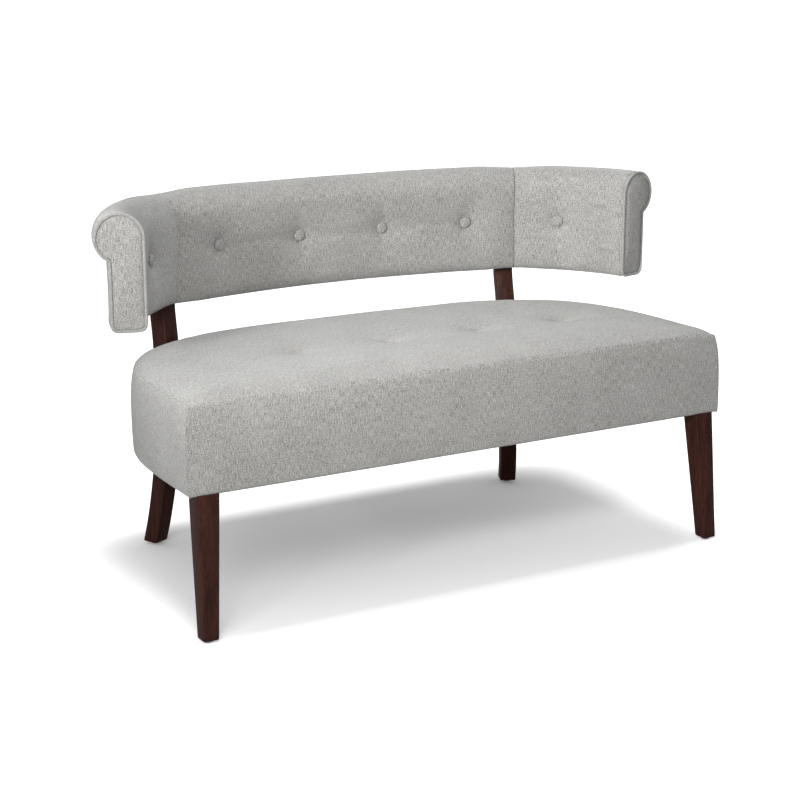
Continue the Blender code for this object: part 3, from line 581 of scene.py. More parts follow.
def d_curve():
    """Points of the D from its right front corner round the back to the left one.

    Beyond the straight sides each point lies on (x/a)^p + (y/b)^p = 1, one for each even step of angle.
    """
    angle = np.linspace(0.0, math.pi, outline_points)
    c, s = np.cos(angle), np.sin(angle)
    size = ((np.abs(c) / seat_half_width) ** seat_power + (s / seat_round_depth) ** seat_power)
    reach = size ** (-1 / seat_power)
    curve = np.stack((reach * c, seat_side_start + reach * s), -1)
    first = np.array([[seat_half_width, seat_front]])
    return np.concatenate((first, curve, first * (-1, 1)))


def evenly(curve, count, start=0.0, end=1.0):
    """The same curve at even distances between two shares of its length."""
    run = run_length(curve)
    at = np.linspace(start, end, count) * run[-1]
    return np.stack([np.interp(at, run, curve[:, k]) for k in (0, 1)], -1)


def outward(curve):
    """Unit vectors square to the curve, pointing away from the seat."""
    along = np.gradient(curve, axis=0)
    out = np.stack((along[:, 1], -along[:, 0]), -1)
    return out / np.linalg.norm(out, axis=1, keepdims=True)


def lean_to(curve, z):
    """Squeeze the straight sides so that they end on the leaning front at height z."""
    front = seat_front + seat_lean * (z - seat_low) / (seat_seam - seat_low) + wall_draw(z, *panel_draw)
    share = np.clip((seat_side_start - curve[..., 1]) / (seat_side_start - seat_front), 0.0, 1.0)
    return curve[..., 1] + share * (front - seat_front)


seat_line = d_curve()
print("seat outline:", round(float(run_length(seat_line)[-1]), 3), "m round the sides and back")

# %% [markdown]
# ## The seat's walls
# One band of cloth goes round the sides and back, and a straight panel closes the front.
# Both are padded: they bulge a little at mid height, roll under the frame at the bottom
# and are drawn in at the seam along the top. The section is the same, so one function gives it.

# %% Wall section
wall_rows = 34
wall_foot = 0.006
wall_inside = 0.0165
wall_top_gap = 0.0025
lip_below = np.array((0.0013, 0.0009, 0.0016))
lip_beyond = np.array((0.0005, 0.0016, 0.0042))
inside_heights = np.array((seat_seam - 0.004, seat_low + 0.09, seat_low + 0.0012))
under_reach = 0.004


def wall_section(draw_low, draw_high):
    """Height and draw-in of the wall, from under the frame up to the seam and back down inside.

    The bottom edge is a quarter circle. Above it the draw-in falls as a square to nothing at mid
    height and grows as a cube to the seam, where the cloth turns in.
    """
    turn = np.linspace(0.0, math.pi / 2, 6)
    foot_z = seat_low + wall_foot * (1 - np.cos(turn))
    foot_in = draw_low + wall_foot * (1 - np.sin(turn))
    share = np.linspace(0.0, 1.0, wall_rows) ** 0.9
    z = seat_low + wall_foot + (seat_seam - wall_top_gap - seat_low - wall_foot) * share
    draw = wall_draw(z, draw_low, draw_high)
    under_z = np.array((seat_low,))
    under_in = np.array((draw_low + wall_foot + under_reach,))
    return (np.concatenate((under_z, foot_z, z[1:], seat_seam - lip_below, inside_heights)),
            np.concatenate((under_in, foot_in, draw[1:], draw[-1] + lip_beyond, np.full(3, wall_inside))))


def soft_waves(u, v, size):
    """Slow hand-made unevenness: a few sine waves of unlike length added together."""
    return size * (np.sin(11.0 * u + 2.1 * v) + 0.6 * np.sin(23.0 * u - 17.0 * v + 1.3)
                   + 0.4 * np.sin(41.0 * u + 29.0 * v + 0.4)) / 2.0


# %% Corner creases
groove_depth, groove_width = 0.0005, 0.0030
crease_reach, crease_drop = 0.016, 0.018
inside_strip = 0.5


def wall_inset(section_z, section_in, away, waves, draw, crease_depth, crease_across, crease_down):
    """How far the wall lies inside its outline, at a distance away from the corner.

    It is the section's draw-in, plus a fine groove at the corner, slow waves, and a cosine whose
    ripples die away from the corner's top, all of it kept inside the mitre.
    """
    down = seat_seam - section_z[None, :]
    inset = section_in[None, :] + groove_depth * bell(away, groove_width) + waves
    crease = np.exp(-away / crease_reach) * np.exp(-down / crease_drop)
    inset = inset + crease_depth * crease * np.cos(away * crease_across + down * crease_down)
    return mitred(np.minimum(inset, wall_inside), section_z[None, :], draw, away)


def wall_uv(run, section_z, section_in):
    """Cloth coordinates of a wall: distance along it, and distance round its section."""
    height_run = np.append(run_length(np.stack((section_in, section_z), -1)), inside_strip)
    return np.stack(np.broadcast_arrays(run[:, None], height_run[None, :]), -1)


# %% Side band
band_columns = 250
section_z, section_in = wall_section(*band_draw)
line = evenly(seat_line, band_columns)
line_out = outward(line)
line_out[0], line_out[-1] = (1.0, 0.0), (-1.0, 0.0)
band_run = run_length(line)
corner_away = np.minimum(band_run, band_run[-1] - band_run)[:, None]
waves = soft_waves(band_run[:, None], section_z[None, :], 0.0007)
inset = wall_inset(section_z, section_in, corner_away, waves, band_draw, crease_depth=0.0016,
                   crease_across=900.0, crease_down=500.0)
band_x = line[:, None, 0] - line_out[:, None, 0] * inset
band_y = line[:, None, 1] - line_out[:, None, 1] * inset
band_y = lean_to(np.stack((band_x, band_y), -1), section_z[None, :])
rings = to_frame(band_x, band_y, section_z)
side_band = carried("seat_side_band", rings, wall_uv(band_run, section_z, section_in), chenille)
print("side band:", len(side_band.data.polygons), "faces")

# %% Front panel
panel_columns = 170
panel_half = seat_half_width - 0.0004
panel_bunching = 1.35
even = np.linspace(-1.0, 1.0, panel_columns)
across_x = panel_half * np.sin(even * panel_bunching) / math.sin(panel_bunching)
section_z, section_in = wall_section(*panel_draw)
edge_away = (panel_half - np.abs(across_x))[:, None]
waves = soft_waves(across_x[:, None] + 3.0, section_z[None, :], 0.0006)
inset = wall_inset(section_z, section_in, edge_away, waves, panel_draw, crease_depth=0.0013,
                   crease_across=800.0, crease_down=600.0)
level = (section_z[None, :] - seat_low) / (seat_seam - seat_low)
side_draw = wall_draw(section_z, *band_draw)
panel_x = across_x[:, None] * (1 - side_draw[None, :] / seat_half_width)
panel_y = seat_front + seat_lean * level + inset
rings = to_frame(panel_x, panel_y, section_z)
front_panel = carried("seat_front_panel", rings, wall_uv(across_x + 5.0, section_z, section_in), chenille)
print("front panel:", len(front_panel.data.polygons), "faces")

# %% [markdown]
# ## The seat top
# The top is one piece of cloth over foam. A grid that fills the D comes from a Coons patch: the four
# boundary curves are blended across to each other, so the rows and columns follow the outline.
# Near the edge the surface falls away as a quarter ellipse. A row of small tufts is sewn down.

# %% Grid of the seat top
top_columns, top_rows = 180, 92
top_inset = 0.0105
front_inset = 0.0045
corner_share = 0.27
tufts = np.array([(-0.262 + 0.211 * k, 0.268) for k in range(4)])


def towards_edges(count, pull):
    """Shares from 0 to 1, closer together near both ends: the share less pull times one full sine."""
    share = np.linspace(0.0, 1.0, count)
    return share - pull * np.sin(math.tau * share)


def at_share(curve, share):
    """Points of a curve at shares of its point count."""
    place = share * (len(curve) - 1)
    return np.stack([np.interp(place, np.arange(len(curve)), curve[:, k]) for k in (0, 1)], -1)


top_line = evenly(seat_line, outline_points)
top_line = top_line - outward(top_line) * top_inset
top_front = seat_front + seat_lean + front_inset
top_line = top_line[top_line[:, 1] > top_front]
top_line = np.concatenate(([(top_line[0, 0], top_front)], top_line, [(top_line[-1, 0], top_front)]))
u, v = towards_edges(top_columns, 0.07), towards_edges(top_rows, 0.09)
right = evenly(top_line, 400, 0.0, corner_share)
left = evenly(top_line, 400, 1.0, 1.0 - corner_share)
rear = evenly(top_line, 800, 1.0 - corner_share, corner_share)
front = np.stack((np.linspace(left[0, 0], right[0, 0], 400), np.full(400, top_front)), -1)

low_edge, high_edge = at_share(front, u)[:, None], at_share(rear, u)[:, None]
left_edge, right_edge = at_share(left, v)[None], at_share(right, v)[None]
U, V = u[:, None, None], v[None, :, None]
plan = (1 - V) * low_edge + V * high_edge + (1 - U) * left_edge + U * right_edge
plan = plan - ((1 - U) * (1 - V) * left[0] + U * (1 - V) * right[0]
               + (1 - U) * V * left[-1] + U * V * right[-1])
top_x, top_y = plan[..., 0], plan[..., 1]
print("seat top grid:", plan.shape[:2])


# %% Height of the seat top
edge_rise = 0.0150
side_reach, front_reach = 0.055, 0.046
crown_rise = 0.0065
tuft_reach = 0.034
tuft_depth, fold_depth, sink_limit = 0.0110, 0.0066, 0.0210
fold_width, fold_length = 0.012, 0.055
fold_slopes = (0.35, -0.7)
corner_ripple, corner_reach = 0.0016, 0.014


def nearest(points, curve):
    """Distance from each point to the nearest point of a curve, worked out in parts to save memory."""
    flat = points.reshape(-1, 2)
    best = np.full(len(flat), np.inf)
    for part in np.array_split(curve, min(16, len(curve))):
        away = ((flat[:, None] - part[None]) ** 2).sum(-1).min(1)
        best = np.minimum(best, away)
    return np.sqrt(best).reshape(points.shape[:-1])


def fall(away, reach):
    """Quarter ellipse: nought at the edge, one beyond the reach."""
    share = 1 - np.clip(away / reach, 0.0, 1.0)
    return np.sqrt(np.clip(1 - share * share, 0.0, 1.0))


side_away = nearest(plan, evenly(top_line, 900))
front_away = top_y - top_front
edge_fall = fall(side_away, side_reach) * fall(front_away, front_reach)
crown = crown_rise * (1 - (np.abs(top_x) / seat_half_width) ** 2.5)
crown = crown * fall(front_away, 0.12) * fall(side_away, 0.14)
tuft_pull = sum(tuft_depth * np.exp(-2.4 * np.hypot(top_x - x, top_y - y) / tuft_reach) for x, y in tufts)
tuft_fold = sum(fold_depth * np.exp(-np.abs(top_y - y - slope * (top_x - x)) / fold_width)
                * np.exp(-np.abs(top_x - x) / fold_length) for x, y in tufts for slope in fold_slopes)
tuft_sink = sink_limit * np.tanh((tuft_pull + tuft_fold) / sink_limit)
top_z = seat_seam - 0.0015 + edge_rise * edge_fall + crown - tuft_sink * fall(side_away, 0.05)
top_z = top_z - soft_waves(top_x * 0.7, top_y, 0.0009) * edge_fall
corner_near = np.hypot(seat_half_width - top_inset - np.abs(top_x), front_away)
top_z = top_z - corner_ripple * np.exp(-corner_near / corner_reach) * (1 + np.cos(corner_near * 700.0))
print("seat top from", round(float(top_z.min()), 4), "to", round(float(top_z.max()), 4), "m")

# %% [markdown]
# The underside is the same grid laid flat, and a skirt of quads joins the two. One face with hundreds of
# corners would be simpler there, but Cloth and Subdivision Surface are both very slow with such a face.

# %% Seat top
under_drop = 0.0035
sewn_round_tuft, sewn_at_side, sewn_at_front = 0.007, 0.004, 0.003

count = top_columns * top_rows
index = np.arange(count).reshape(top_columns, top_rows)
rim = np.concatenate((index[:-1, 0], index[-1, :-1], index[:0:-1, -1], index[0, :0:-1]))
quads, _, _ = grid_faces(top_columns, top_rows, False)
skirt = np.stack((rim, np.roll(rim, -1), np.roll(rim, -1) + count, rim + count), -1)
order = np.concatenate((quads, quads[:, ::-1] + count, skirt))
under_z = np.full_like(top_z, seat_seam - under_drop)
all_points = to_frame(np.stack((top_x, top_x)), np.stack((top_y, top_y)), np.stack((top_z, under_z)))
all_points = all_points.reshape(-1, 3)
seat_top = make_piece("seat_top_cushion", all_points, order.tolist(),
                      all_points[order.ravel()][:, :2] + 9.0, chenille)
sewn = (nearest(plan, tufts) < sewn_round_tuft) | (side_away < sewn_at_side) | (front_away < sewn_at_front)
held = np.ones(len(all_points))
held[:count] = sewn.ravel()
swell(seat_top, held, cap=0.004, pressure=3.0)
refine(seat_top)
print("seat top:", len(seat_top.data.polygons), "faces, highest point", round(float(top_z.max()), 4))

# %% [markdown]
# ## The stitches that hold the tufts
# Each tuft is sewn down with a short bar of waxed thread. The bar is a slim spindle, and its ends dive
# into the cloth.

# %% Thread profile
stitch_length, stitch_radius = 0.0075, 0.0009
stitch_share = np.linspace(-1.0, 1.0, 9)
stitch_profile = np.stack((stitch_radius * np.sqrt(1 - stitch_share ** 2),
                           stitch_share * stitch_length / 2), -1)
tuft_nearest = [int(np.argmin(np.hypot(top_x - x, top_y - y))) for x, y in tufts]
tuft_spots = all_points[:count][tuft_nearest]
print("tufts at height", np.round(tuft_spots[:, 2], 4).tolist())

# %% [markdown]
# ## The back's plan and section
# Seen from above, the inside of the back is three arcs: a wide one in the middle and a tight one
# on each side, which meet at a seam. The section stands up from the bottom edge and curls over
# into a roll at the top. Where the two arcs meet, both sides turn to the same mitre line.

# %% Back plan
mitre_reach_wing, mitre_reach_middle = 0.060, 0.070
seam_offset = -0.003
seam_bow_left, seam_bow_right = 0.013, 0.002
seam_bow_height, seam_bow_width = 0.650, 0.062


def back_plan(run):
    """Inner-face point and the turn of the way out of it, at a distance along the back from its middle."""
    far = np.abs(run)
    middle = far / back_radius
    wing = wing_turn_start + (far - seam_run) / wing_radius
    in_wing = far > seam_run
    turn = np.where(in_wing, wing, middle)
    centre = np.where(in_wing[..., None], wing_centre, middle_centre)
    radius = np.where(in_wing, wing_radius, back_radius)[..., None]
    way = np.stack((np.sin(turn), np.cos(turn)), -1)
    point = centre + radius * way
    near_seam = 1 - smooth(np.abs(far - seam_run) / np.where(in_wing, mitre_reach_wing, mitre_reach_middle))
    turn = turn + (mitre_turn - turn) * near_seam
    side = np.where(run < 0, -1.0, 1.0)
    return point * np.stack((side, np.ones_like(side)), -1), turn * side


def wall_at(run):
    """The back slims along the wings, from the wall at the seam to the wall at the arm face."""
    return back_wall - wing_taper * smooth((np.abs(run) - seam_run) / (tip_run - seam_run))


def place_section(run, n, z):
    """Section points n behind the inner face become points of the frame."""
    point, turn = back_plan(run)
    return to_frame(point[..., 0] + np.sin(turn) * n, point[..., 1] + np.cos(turn) * n, z)


def seam_shift(z, side):
    """The seam leans towards the middle at mid height: a bell curve of the height.

    The left seam was sewn with more of a bow than the right one.
    """
    bow = seam_bow_left if side < 0 else seam_bow_right
    return seam_offset - bow * bell(z - seam_bow_height, seam_bow_width)


# %% Back section
under_lift = 0.006
under_count, corner_count, face_count, roll_count = 5, 6, 28, 34
face_start = under_count + corner_count


def spread(first, last, count, with_last=True):
    """Even steps between two values that may be arrays."""
    share = np.linspace(0.0, 1.0, count + (not with_last))[:count]
    first, last = np.asarray(first, float)[..., None], np.asarray(last, float)[..., None]
    return first + (last - first) * share


def pad_section(run):
    """Outer line (n, z) of the pad at each run: under, up the face, over the roll to its seam.

    The bottom corner is a quarter circle and the roll is most of a full one. The inner line comes back
    over a smaller circle and down inside the pad.
    """
    flat = np.zeros_like(run)
    end = -np.arccos((wall_at(run) - roll_radius) / roll_radius)
    turn = spread(flat - math.pi / 2, flat - math.pi, corner_count, False)
    roll = spread(flat + math.pi, end, roll_count)
    n = np.concatenate((spread(flat + pad_depth, flat + low_round, under_count, False),
                        low_round + low_round * np.cos(turn),
                        spread(flat, flat, face_count, False),
                        roll_radius + roll_radius * np.cos(roll)), -1)
    z = np.concatenate((spread(flat + back_low, flat + back_low, under_count, False),
                        back_low + low_round + low_round * np.sin(turn),
                        spread(flat + back_low + low_round, flat + roll_height, face_count, False),
                        roll_height + roll_radius * np.sin(roll)), -1)
    core = spread(end, flat + math.pi, 12)
    inner_low = spread(flat + back_low + under_lift, flat + back_low + under_lift, 3)
    inner_n = np.concatenate((roll_radius + roll_core * np.cos(core),
                              spread(flat + pad_wall, flat + pad_depth, 3)), -1)
    inner_z = np.concatenate((roll_height + roll_core * np.sin(core), inner_low), -1)
    return n, z, inner_n, inner_z


def section_normals(n, z):
    """Unit vectors that point out of the pad, square to its outer line."""
    dn, dz = np.gradient(n, axis=-1), np.gradient(z, axis=-1)
    size = np.hypot(dn, dz) + 1e-12
    return -dz / size, dn / size


print("pad section:", face_start + face_count + roll_count, "points on the outer line")

# %% [markdown]
# ## The padded back
# The inside of the back is three pads: a middle one with four buttons and a wing with one on each side.
# Every button pulls a wide shallow dimple with small folds round it, and every seam pulls a fine groove
# with a soft valley beside it. The pads are drawn with those pulls in place, and then they swell between
# them. One extra column of points close to each end of a pad keeps that edge crisp when it is refined.

# %% Pull of a button
pinch_depth, pinch_width = 0.0035, 0.007
dimple_depth, dimple_reach, dimple_rate = 0.0058, 0.047, 2.4
basin_depth, basin_width, basin_stretch = 0.0030, 0.085, 1.25
star_depth, star_radius, star_width, star_points = 0.0006, 0.026, 0.012, 6
upright_depth, upright_width, upright_length = 0.0024, 0.009, 0.060
level_depth, level_width, level_length = 0.0003, 0.008, 0.070
button_edge = 0.012


def button_runs(wing):
    """Distances of one pad's buttons along the back."""
    return (wing_button,) if wing else tuple(step * button_pitch for step in (-1.5, -0.5, 0.5, 1.5))


def button_pull(aside, above):
    """Distance from the button and the depth of its dimple, at points aside from it and above it.

    The dimple adds a tight pinch and a wider hollow, both falling as powers of e, to a broad basin,
    which is a bell curve.
    """
    away = np.hypot(aside, above)
    beyond = np.clip(away - button_edge, 0.0, None)
    wide = np.hypot(aside / basin_stretch, above)
    dimple = dimple_depth * np.exp(-dimple_rate * (beyond / dimple_reach))
    dimple = dimple + basin_depth * bell(wide, basin_width)
    dimple = dimple + pinch_depth * np.exp(-beyond / pinch_width)
    return away, dimple


def button_folds(aside, above, away, at):
    """Depth of the folds round a button: an upright and a level bell curve, and a faint star.

    The button's distance along the back, at, turns the star and leans the upright fold, so that no
    two buttons look the same.
    """
    star = star_depth * bell(away - star_radius, star_width)
    star = star * np.cos(star_points * np.arctan2(above, aside) + at * 40)
    lean = 0.05 * above * np.sin(at * 31)
    upright = bell(aside - lean, upright_width) * bell(above, upright_length)
    level = bell(above, level_width) * bell(aside, level_length)
    return star + upright_depth * upright + level_depth * level


print("buttons at", np.round((*button_runs(False), *button_runs(True)), 4).tolist(), "m along the back")

# %% Back pads
seam_edge = 0.0008
seam_groove, seam_groove_width = 0.0007, 0.0030
seam_valley, seam_valley_reach = 0.0050, 0.080
tip_groove, tip_groove_width = 0.0062, 0.0040
gather_depth, gather_reach, gather_height, gather_width = 0.0020, 0.030, 0.020, 0.022
pull_start, pull_rise = 0.012, 0.03
lip_depth, lip_reach = 0.003, 0.004
pad_cap, pad_pressure = 0.0035, 4.0
held_round_button, held_at_seam, held_lip = 0.0105, 0.004, 0.2


def make_pad(name, first, last, columns, wing, side=1.0):
    """One pad between two distances along the back; a left wing is the right one mirrored."""
    share = towards_edges(columns, 0.05)
    beside = seam_edge / (last - first)
    share = np.concatenate(((0.0, beside), share[1:-1], (1 - beside, 1.0)))
    run = first + (last - first) * share
    n, z, inner_n, inner_z = pad_section(run)
    start_shift = seam_shift(z, side) if wing else -seam_shift(z, -1.0)
    end_shift = np.zeros_like(z) if wing else seam_shift(z, 1.0)
    bend = start_shift * (1 - share[:, None]) ** 2 + end_shift * share[:, None] ** 2
    along = run[:, None] + bend
    height = run_length(np.stack((n, z), -1), axis=1)
    button_level = height[:, face_start:face_start + 1] + (button_height_z - back_low - low_round)
    from_start, from_end = along - along[:1], along[-1:] - along
    seam_away = from_start if wing else np.minimum(from_start, from_end)
    pull = seam_groove * bell(seam_away, seam_groove_width)
    pull = pull + seam_valley * (1 - smooth(seam_away / seam_valley_reach))
    if wing:
        pull = pull + tip_groove * bell(from_end, tip_groove_width)
        gather = np.exp(-from_end / gather_reach) * bell(z - back_low - gather_height, gather_width)
        pull = pull + gather_depth * gather * np.cos(z * 720.0 + from_end * 160.0)
    nearest_button = np.full_like(z, np.inf)
    for at in button_runs(wing):
        aside, above = along - at, height - button_level
        away, dimple = button_pull(aside, above)
        nearest_button = np.minimum(nearest_button, away)
        pull = np.maximum(pull, dimple) + button_folds(aside, above, away, at)
    pull = pull + soft_waves(along * 1.3, z * 1.6, 0.0005)
    pull = pull * smooth((height - pull_start) / pull_rise)
    lip = bell(height[:, -1:] - height, lip_reach)
    out_n, out_z = section_normals(n, z)
    all_n = np.concatenate((n - out_n * (pull + lip_depth * lip), inner_n), -1)
    all_z = np.concatenate((z - out_z * (pull + lip_depth * lip), inner_z), -1)
    inner_along = np.repeat(along[:, -1:], inner_n.shape[1], 1)
    all_along = np.concatenate((along, inner_along), -1)
    rings = place_section(np.clip(all_along, -tip_run, tip_run), all_n, all_z)
    if side < 0:
        rings = rings * (-1.0, 1.0, 1.0)
    around_run = run_length(np.stack((all_n, all_z), -1), axis=1)
    around_run = np.concatenate((around_run, around_run[:, -1:] + 0.02), 1)
    uv_along = np.concatenate((all_along, all_along[:, :1]), 1)
    pad = carried(name, rings, np.stack((uv_along + 13.0 * (1 + wing), around_run), -1), chenille)
    outer_count = n.shape[1]
    held = np.ones(all_n.shape)
    pinned = (nearest_button < held_round_button) | (seam_away < held_at_seam) | (lip > held_lip)
    held[:, :outer_count] = pinned
    held[:, :corner_count] = 1.0
    if wing:
        held[:, :outer_count] = np.maximum(held[:, :outer_count], from_end < held_at_seam)
    swell(pad, held, pad_cap, pad_pressure)
    refine(pad)
    print(name, len(pad.data.polygons), "faces")
    return pad


seam_gap = 0.0001
back_pad = make_pad("back_middle_pad", -seam_run + seam_gap, seam_run - seam_gap, 170, False)
wing_pads = {side_name: make_pad("back_wing_pad_" + side_name, seam_run + seam_gap, tip_run, 56, True, side)
             for side_name, side in sides}

# %% [markdown]
# ## The outside cover
# A single panel wraps the outside of the back, from one arm face to the other. It starts in the seam
# under the roll, runs down, and is pulled under the bottom edge to meet the padding.

# %% Outside cover
cover_gap = 0.0006
cover_lip, cover_lip_step = 0.0030, 0.0012
cover_thickness = 0.0040
hollow_depth, hollow_height = 0.0012, 0.14
cover_bottom = 0.003


def outside_rings(run):
    """Closed section of the thin outside cover at each run, outer skin first, then the inner one.

    The skin is a straight line with a quarter circle below it, and a half sine draws its lower part in.
    """
    flat = np.zeros_like(run)
    wall = wall_at(run)
    end = -np.arccos((wall - roll_radius) / roll_radius)
    top = roll_height + roll_radius * np.sin(end) - cover_gap
    low = flat + back_low
    turn = spread(flat, flat - math.pi / 2, 7)
    n = np.concatenate((spread(wall - cover_lip, wall - cover_gap, 3, False),
                        spread(wall, wall, 16, False),
                        (wall - low_round)[:, None] + low_round * np.cos(turn),
                        spread(wall - low_round - 0.004, flat + pad_depth + cover_gap, 5)), -1)
    z = np.concatenate((spread(top + cover_lip_step, top, 3, False),
                        spread(top - cover_lip_step, low + low_round, 16, False),
                        back_low + low_round + low_round * np.sin(turn),
                        spread(low, low + cover_gap, 5)), -1)
    share = np.clip((z - back_low) / hollow_height, 0, 1)
    n = n - hollow_depth * np.sin(share * math.pi) * (z > back_low + low_round)
    inner_wall = wall - cover_thickness
    inner_n = np.concatenate((spread(flat + pad_depth + cover_gap, wall - low_round, 3),
                              spread(inner_wall, inner_wall, 3)), -1)
    inner_z = np.concatenate((spread(low + cover_bottom, low + cover_bottom, 3),
                              spread(low + low_round, top - 0.002, 3)), -1)
    return np.concatenate((n, inner_n), -1), np.concatenate((z, inner_z), -1)


wing_part = seam_run + (tip_run - seam_run) * np.linspace(0.0, 1.0, 46)[1:]
middle_part = np.linspace(-seam_run, seam_run, 140)
outside_run = np.concatenate((-wing_part[::-1], middle_part, wing_part))
outside_n, outside_z = outside_rings(outside_run)
waves = soft_waves(outside_run[:, None], outside_z, 0.0004)
outside_n = outside_n + waves * (outside_n > pad_depth + 0.01)
rings = place_section(np.repeat(outside_run[:, None], outside_n.shape[1], 1), outside_n, outside_z)
around_run = run_length(np.stack((outside_n, outside_z), -1), axis=1)
around_run = np.concatenate((around_run, around_run[:, -1:] + 0.01), 1)
outside_uv = np.stack(np.broadcast_arrays(outside_run[:, None] * 1.06 + 47.0, around_run), -1)
outside_cover = carried("back_outside_cover", rings, outside_uv, chenille)
print("outside cover:", len(outside_cover.data.polygons), "faces")

# %% [markdown]
# ## The buttons
# A covered button is a small metal shell wrapped in the settee's own cloth. It is a turned shape:
# a profile of radius and height swept round an axis, here square to the back.

# %% Buttons
button_sink = 0.0108
button_shares = np.array(((0.0, 0.0), (0.78, 0.0), (0.90, 0.14), (0.985, 0.34), (1.0, 0.48), (0.97, 0.62),
                          (0.88, 0.76), (0.70, 0.87), (0.46, 0.95), (0.20, 0.99), (0.0, 1.0)))


def make_turned(name, base, axis, profile, material, steps, uv_start=(0.0, 0.0)):
    """Sweep (radius, height) points round an axis from a base point; the two ends close in one point."""
    axis = np.asarray(axis, float) / np.linalg.norm(axis)
    side_way = np.cross(axis, (0.0, 0.0, 1.0) if abs(axis[2]) < 0.9 else (1.0, 0.0, 0.0))
    side_way /= np.linalg.norm(side_way)
    up_way = np.cross(side_way, axis)
    turn = np.linspace(0.0, math.tau, steps, endpoint=False)
    spokes = np.cos(turn)[:, None] * side_way + np.sin(turn)[:, None] * up_way
    body = profile[1:-1]
    rings = base + body[:, None, 1:2] * axis + body[:, None, 0:1] * spokes[None]
    ends = [base + axis * profile[0, 1], base + axis * profile[-1, 1]]
    points = np.concatenate((rings.reshape(-1, 3), ends))
    quads, _, _ = grid_faces(len(body), steps, True)
    k = np.arange(steps)
    last = (len(body) - 1) * steps
    first_fan = np.stack(((k + 1) % steps, k, np.full(steps, len(points) - 2)), -1)
    last_fan = np.stack((last + k, last + (k + 1) % steps, np.full(steps, len(points) - 1)), -1)
    order = np.concatenate((quads.ravel(), first_fan.ravel(), last_fan.ravel()))
    flat = np.stack(((points - base) @ side_way, (points - base) @ up_way), -1) + uv_start
    faces = quads.tolist() + first_fan.tolist() + last_fan.tolist()
    return make_piece(name, points, faces, flat[order], material)


button_profile = button_shares * (button_reach, button_rise)
buttons = []
for run in (*button_runs(False), -wing_button, wing_button):
    point, turn = back_plan(np.array([run]))
    way = np.array((math.sin(turn[0]), math.cos(turn[0]), 0.0))
    base = to_frame(point[0, 0], point[0, 1], button_height_z) + way * button_sink
    buttons.append(make_turned(f"button_cover_{len(buttons) + 1}", base, -way, button_profile, chenille, 40,
                               (len(buttons), 60.0)))
print("buttons:", len(buttons))

# %% Stitches
stitch_lift = (0.0, 0.0, 0.0006)
stitch_way = (1.0, -0.5, 0.0)
stitches = [make_turned(f"tuft_stitch_{number + 1}", spot + stitch_lift, stitch_way, stitch_profile,
                        piping_cloth, 10, (number, 64.0)) for number, spot in enumerate(tuft_spots)]
print("stitches:", len(stitches))

# %% [markdown]
# ## The arm faces
# Each wing ends in a panel shaped like a P: the round of the roll above a straight stem.
# A cord covered in cloth, the piping, runs round its edge. The panel is a fan of rings between its
# outline and one point inside, and it is raised in the middle as padding is.

# %% Arm outline
tip_wall = back_wall - wing_taper
arm_arc, arm_corner = 44, 8


def p_outline(inset):
    """Closed P outline (n, z), in from the covers by the inset, in one direction all round."""
    radius = roll_radius - inset
    outer = tip_wall - inset
    low = back_low + inset
    corner = low_round - inset / 2
    end = -math.acos((outer - roll_radius) / radius)
    first = np.linspace(-math.pi / 2, -math.pi, arm_corner)
    roll = np.linspace(math.pi, end, arm_arc)
    last = np.linspace(0.0, -math.pi / 2, arm_corner)
    n = np.concatenate((inset + corner + corner * np.cos(first), roll_radius + radius * np.cos(roll),
                        outer - corner + corner * np.cos(last)))
    z = np.concatenate((low + corner + corner * np.sin(first), roll_height + radius * np.sin(roll),
                        low + corner + corner * np.sin(last)))
    return np.stack((n, z), -1)


def even_loop(loop, count):
    """The same closed outline at even distances."""
    closed = np.concatenate((loop, loop[:1]))
    run = run_length(closed)
    at = np.linspace(0.0, run[-1], count, endpoint=False)
    return np.stack([np.interp(at, run, closed[:, k]) for k in (0, 1)], -1)


tip_point, tip_turn = back_plan(np.array([tip_run]))
tip_out = np.array((math.sin(tip_turn[0]), math.cos(tip_turn[0])))
tip_way = np.array((math.cos(tip_turn[0]), -math.sin(tip_turn[0])))


def on_arm(n, z, slide, side):
    """Points of the arm face's plane, slid out of it, on either side of the settee."""
    plan_point = tip_point[0] + n[..., None] * tip_out + slide[..., None] * tip_way
    return to_frame(plan_point[..., 0] * side, plan_point[..., 1], z)


print("arm outline:", len(p_outline(0.0)), "points")

# %% Arm faces
face_middle = np.array((0.036, 0.672))
face_half = 0.034
face_base, face_rise, face_crown = 0.0012, 0.0062, 0.0016
face_overlap = 0.0004
face_back = 0.0002


def make_arm_face(side_name, side):
    """Padded P panel: rings shrink towards a point inside and rise by a flat-topped curve."""
    outline = even_loop(p_outline(2 * welt_radius - face_overlap), 220)
    share = 1 - np.linspace(0.0, 1.0, 26)[:-1] ** 1.5
    share = np.concatenate(((1.0, 1.0), share[1:]))
    ring = face_middle + share[:, None, None] * (outline - face_middle)[None]
    away = (1 - share) * face_half
    rise = face_base + face_rise * fall(away, 0.016) + face_crown * smooth(away / 0.030)
    rise[0] = face_back
    slide = np.broadcast_to(rise[:, None], ring.shape[:2])
    rings = on_arm(ring[..., 0], ring[..., 1], slide, side)
    peak = on_arm(face_middle[:1], face_middle[1:], rise[-1:], side)
    flat = np.concatenate((ring.reshape(-1, 2), face_middle[None])) + (70.0, 0.0)
    return gathered("arm_face_pad_" + side_name, rings, peak, flat, chenille, backed=True)


arm_faces = {side_name: make_arm_face(side_name, side) for side_name, side in sides}
print("arm faces:", list(arm_faces))

# %% Piping
cord_steps, cord_sides = 300, 14
cord_lift = 1.05


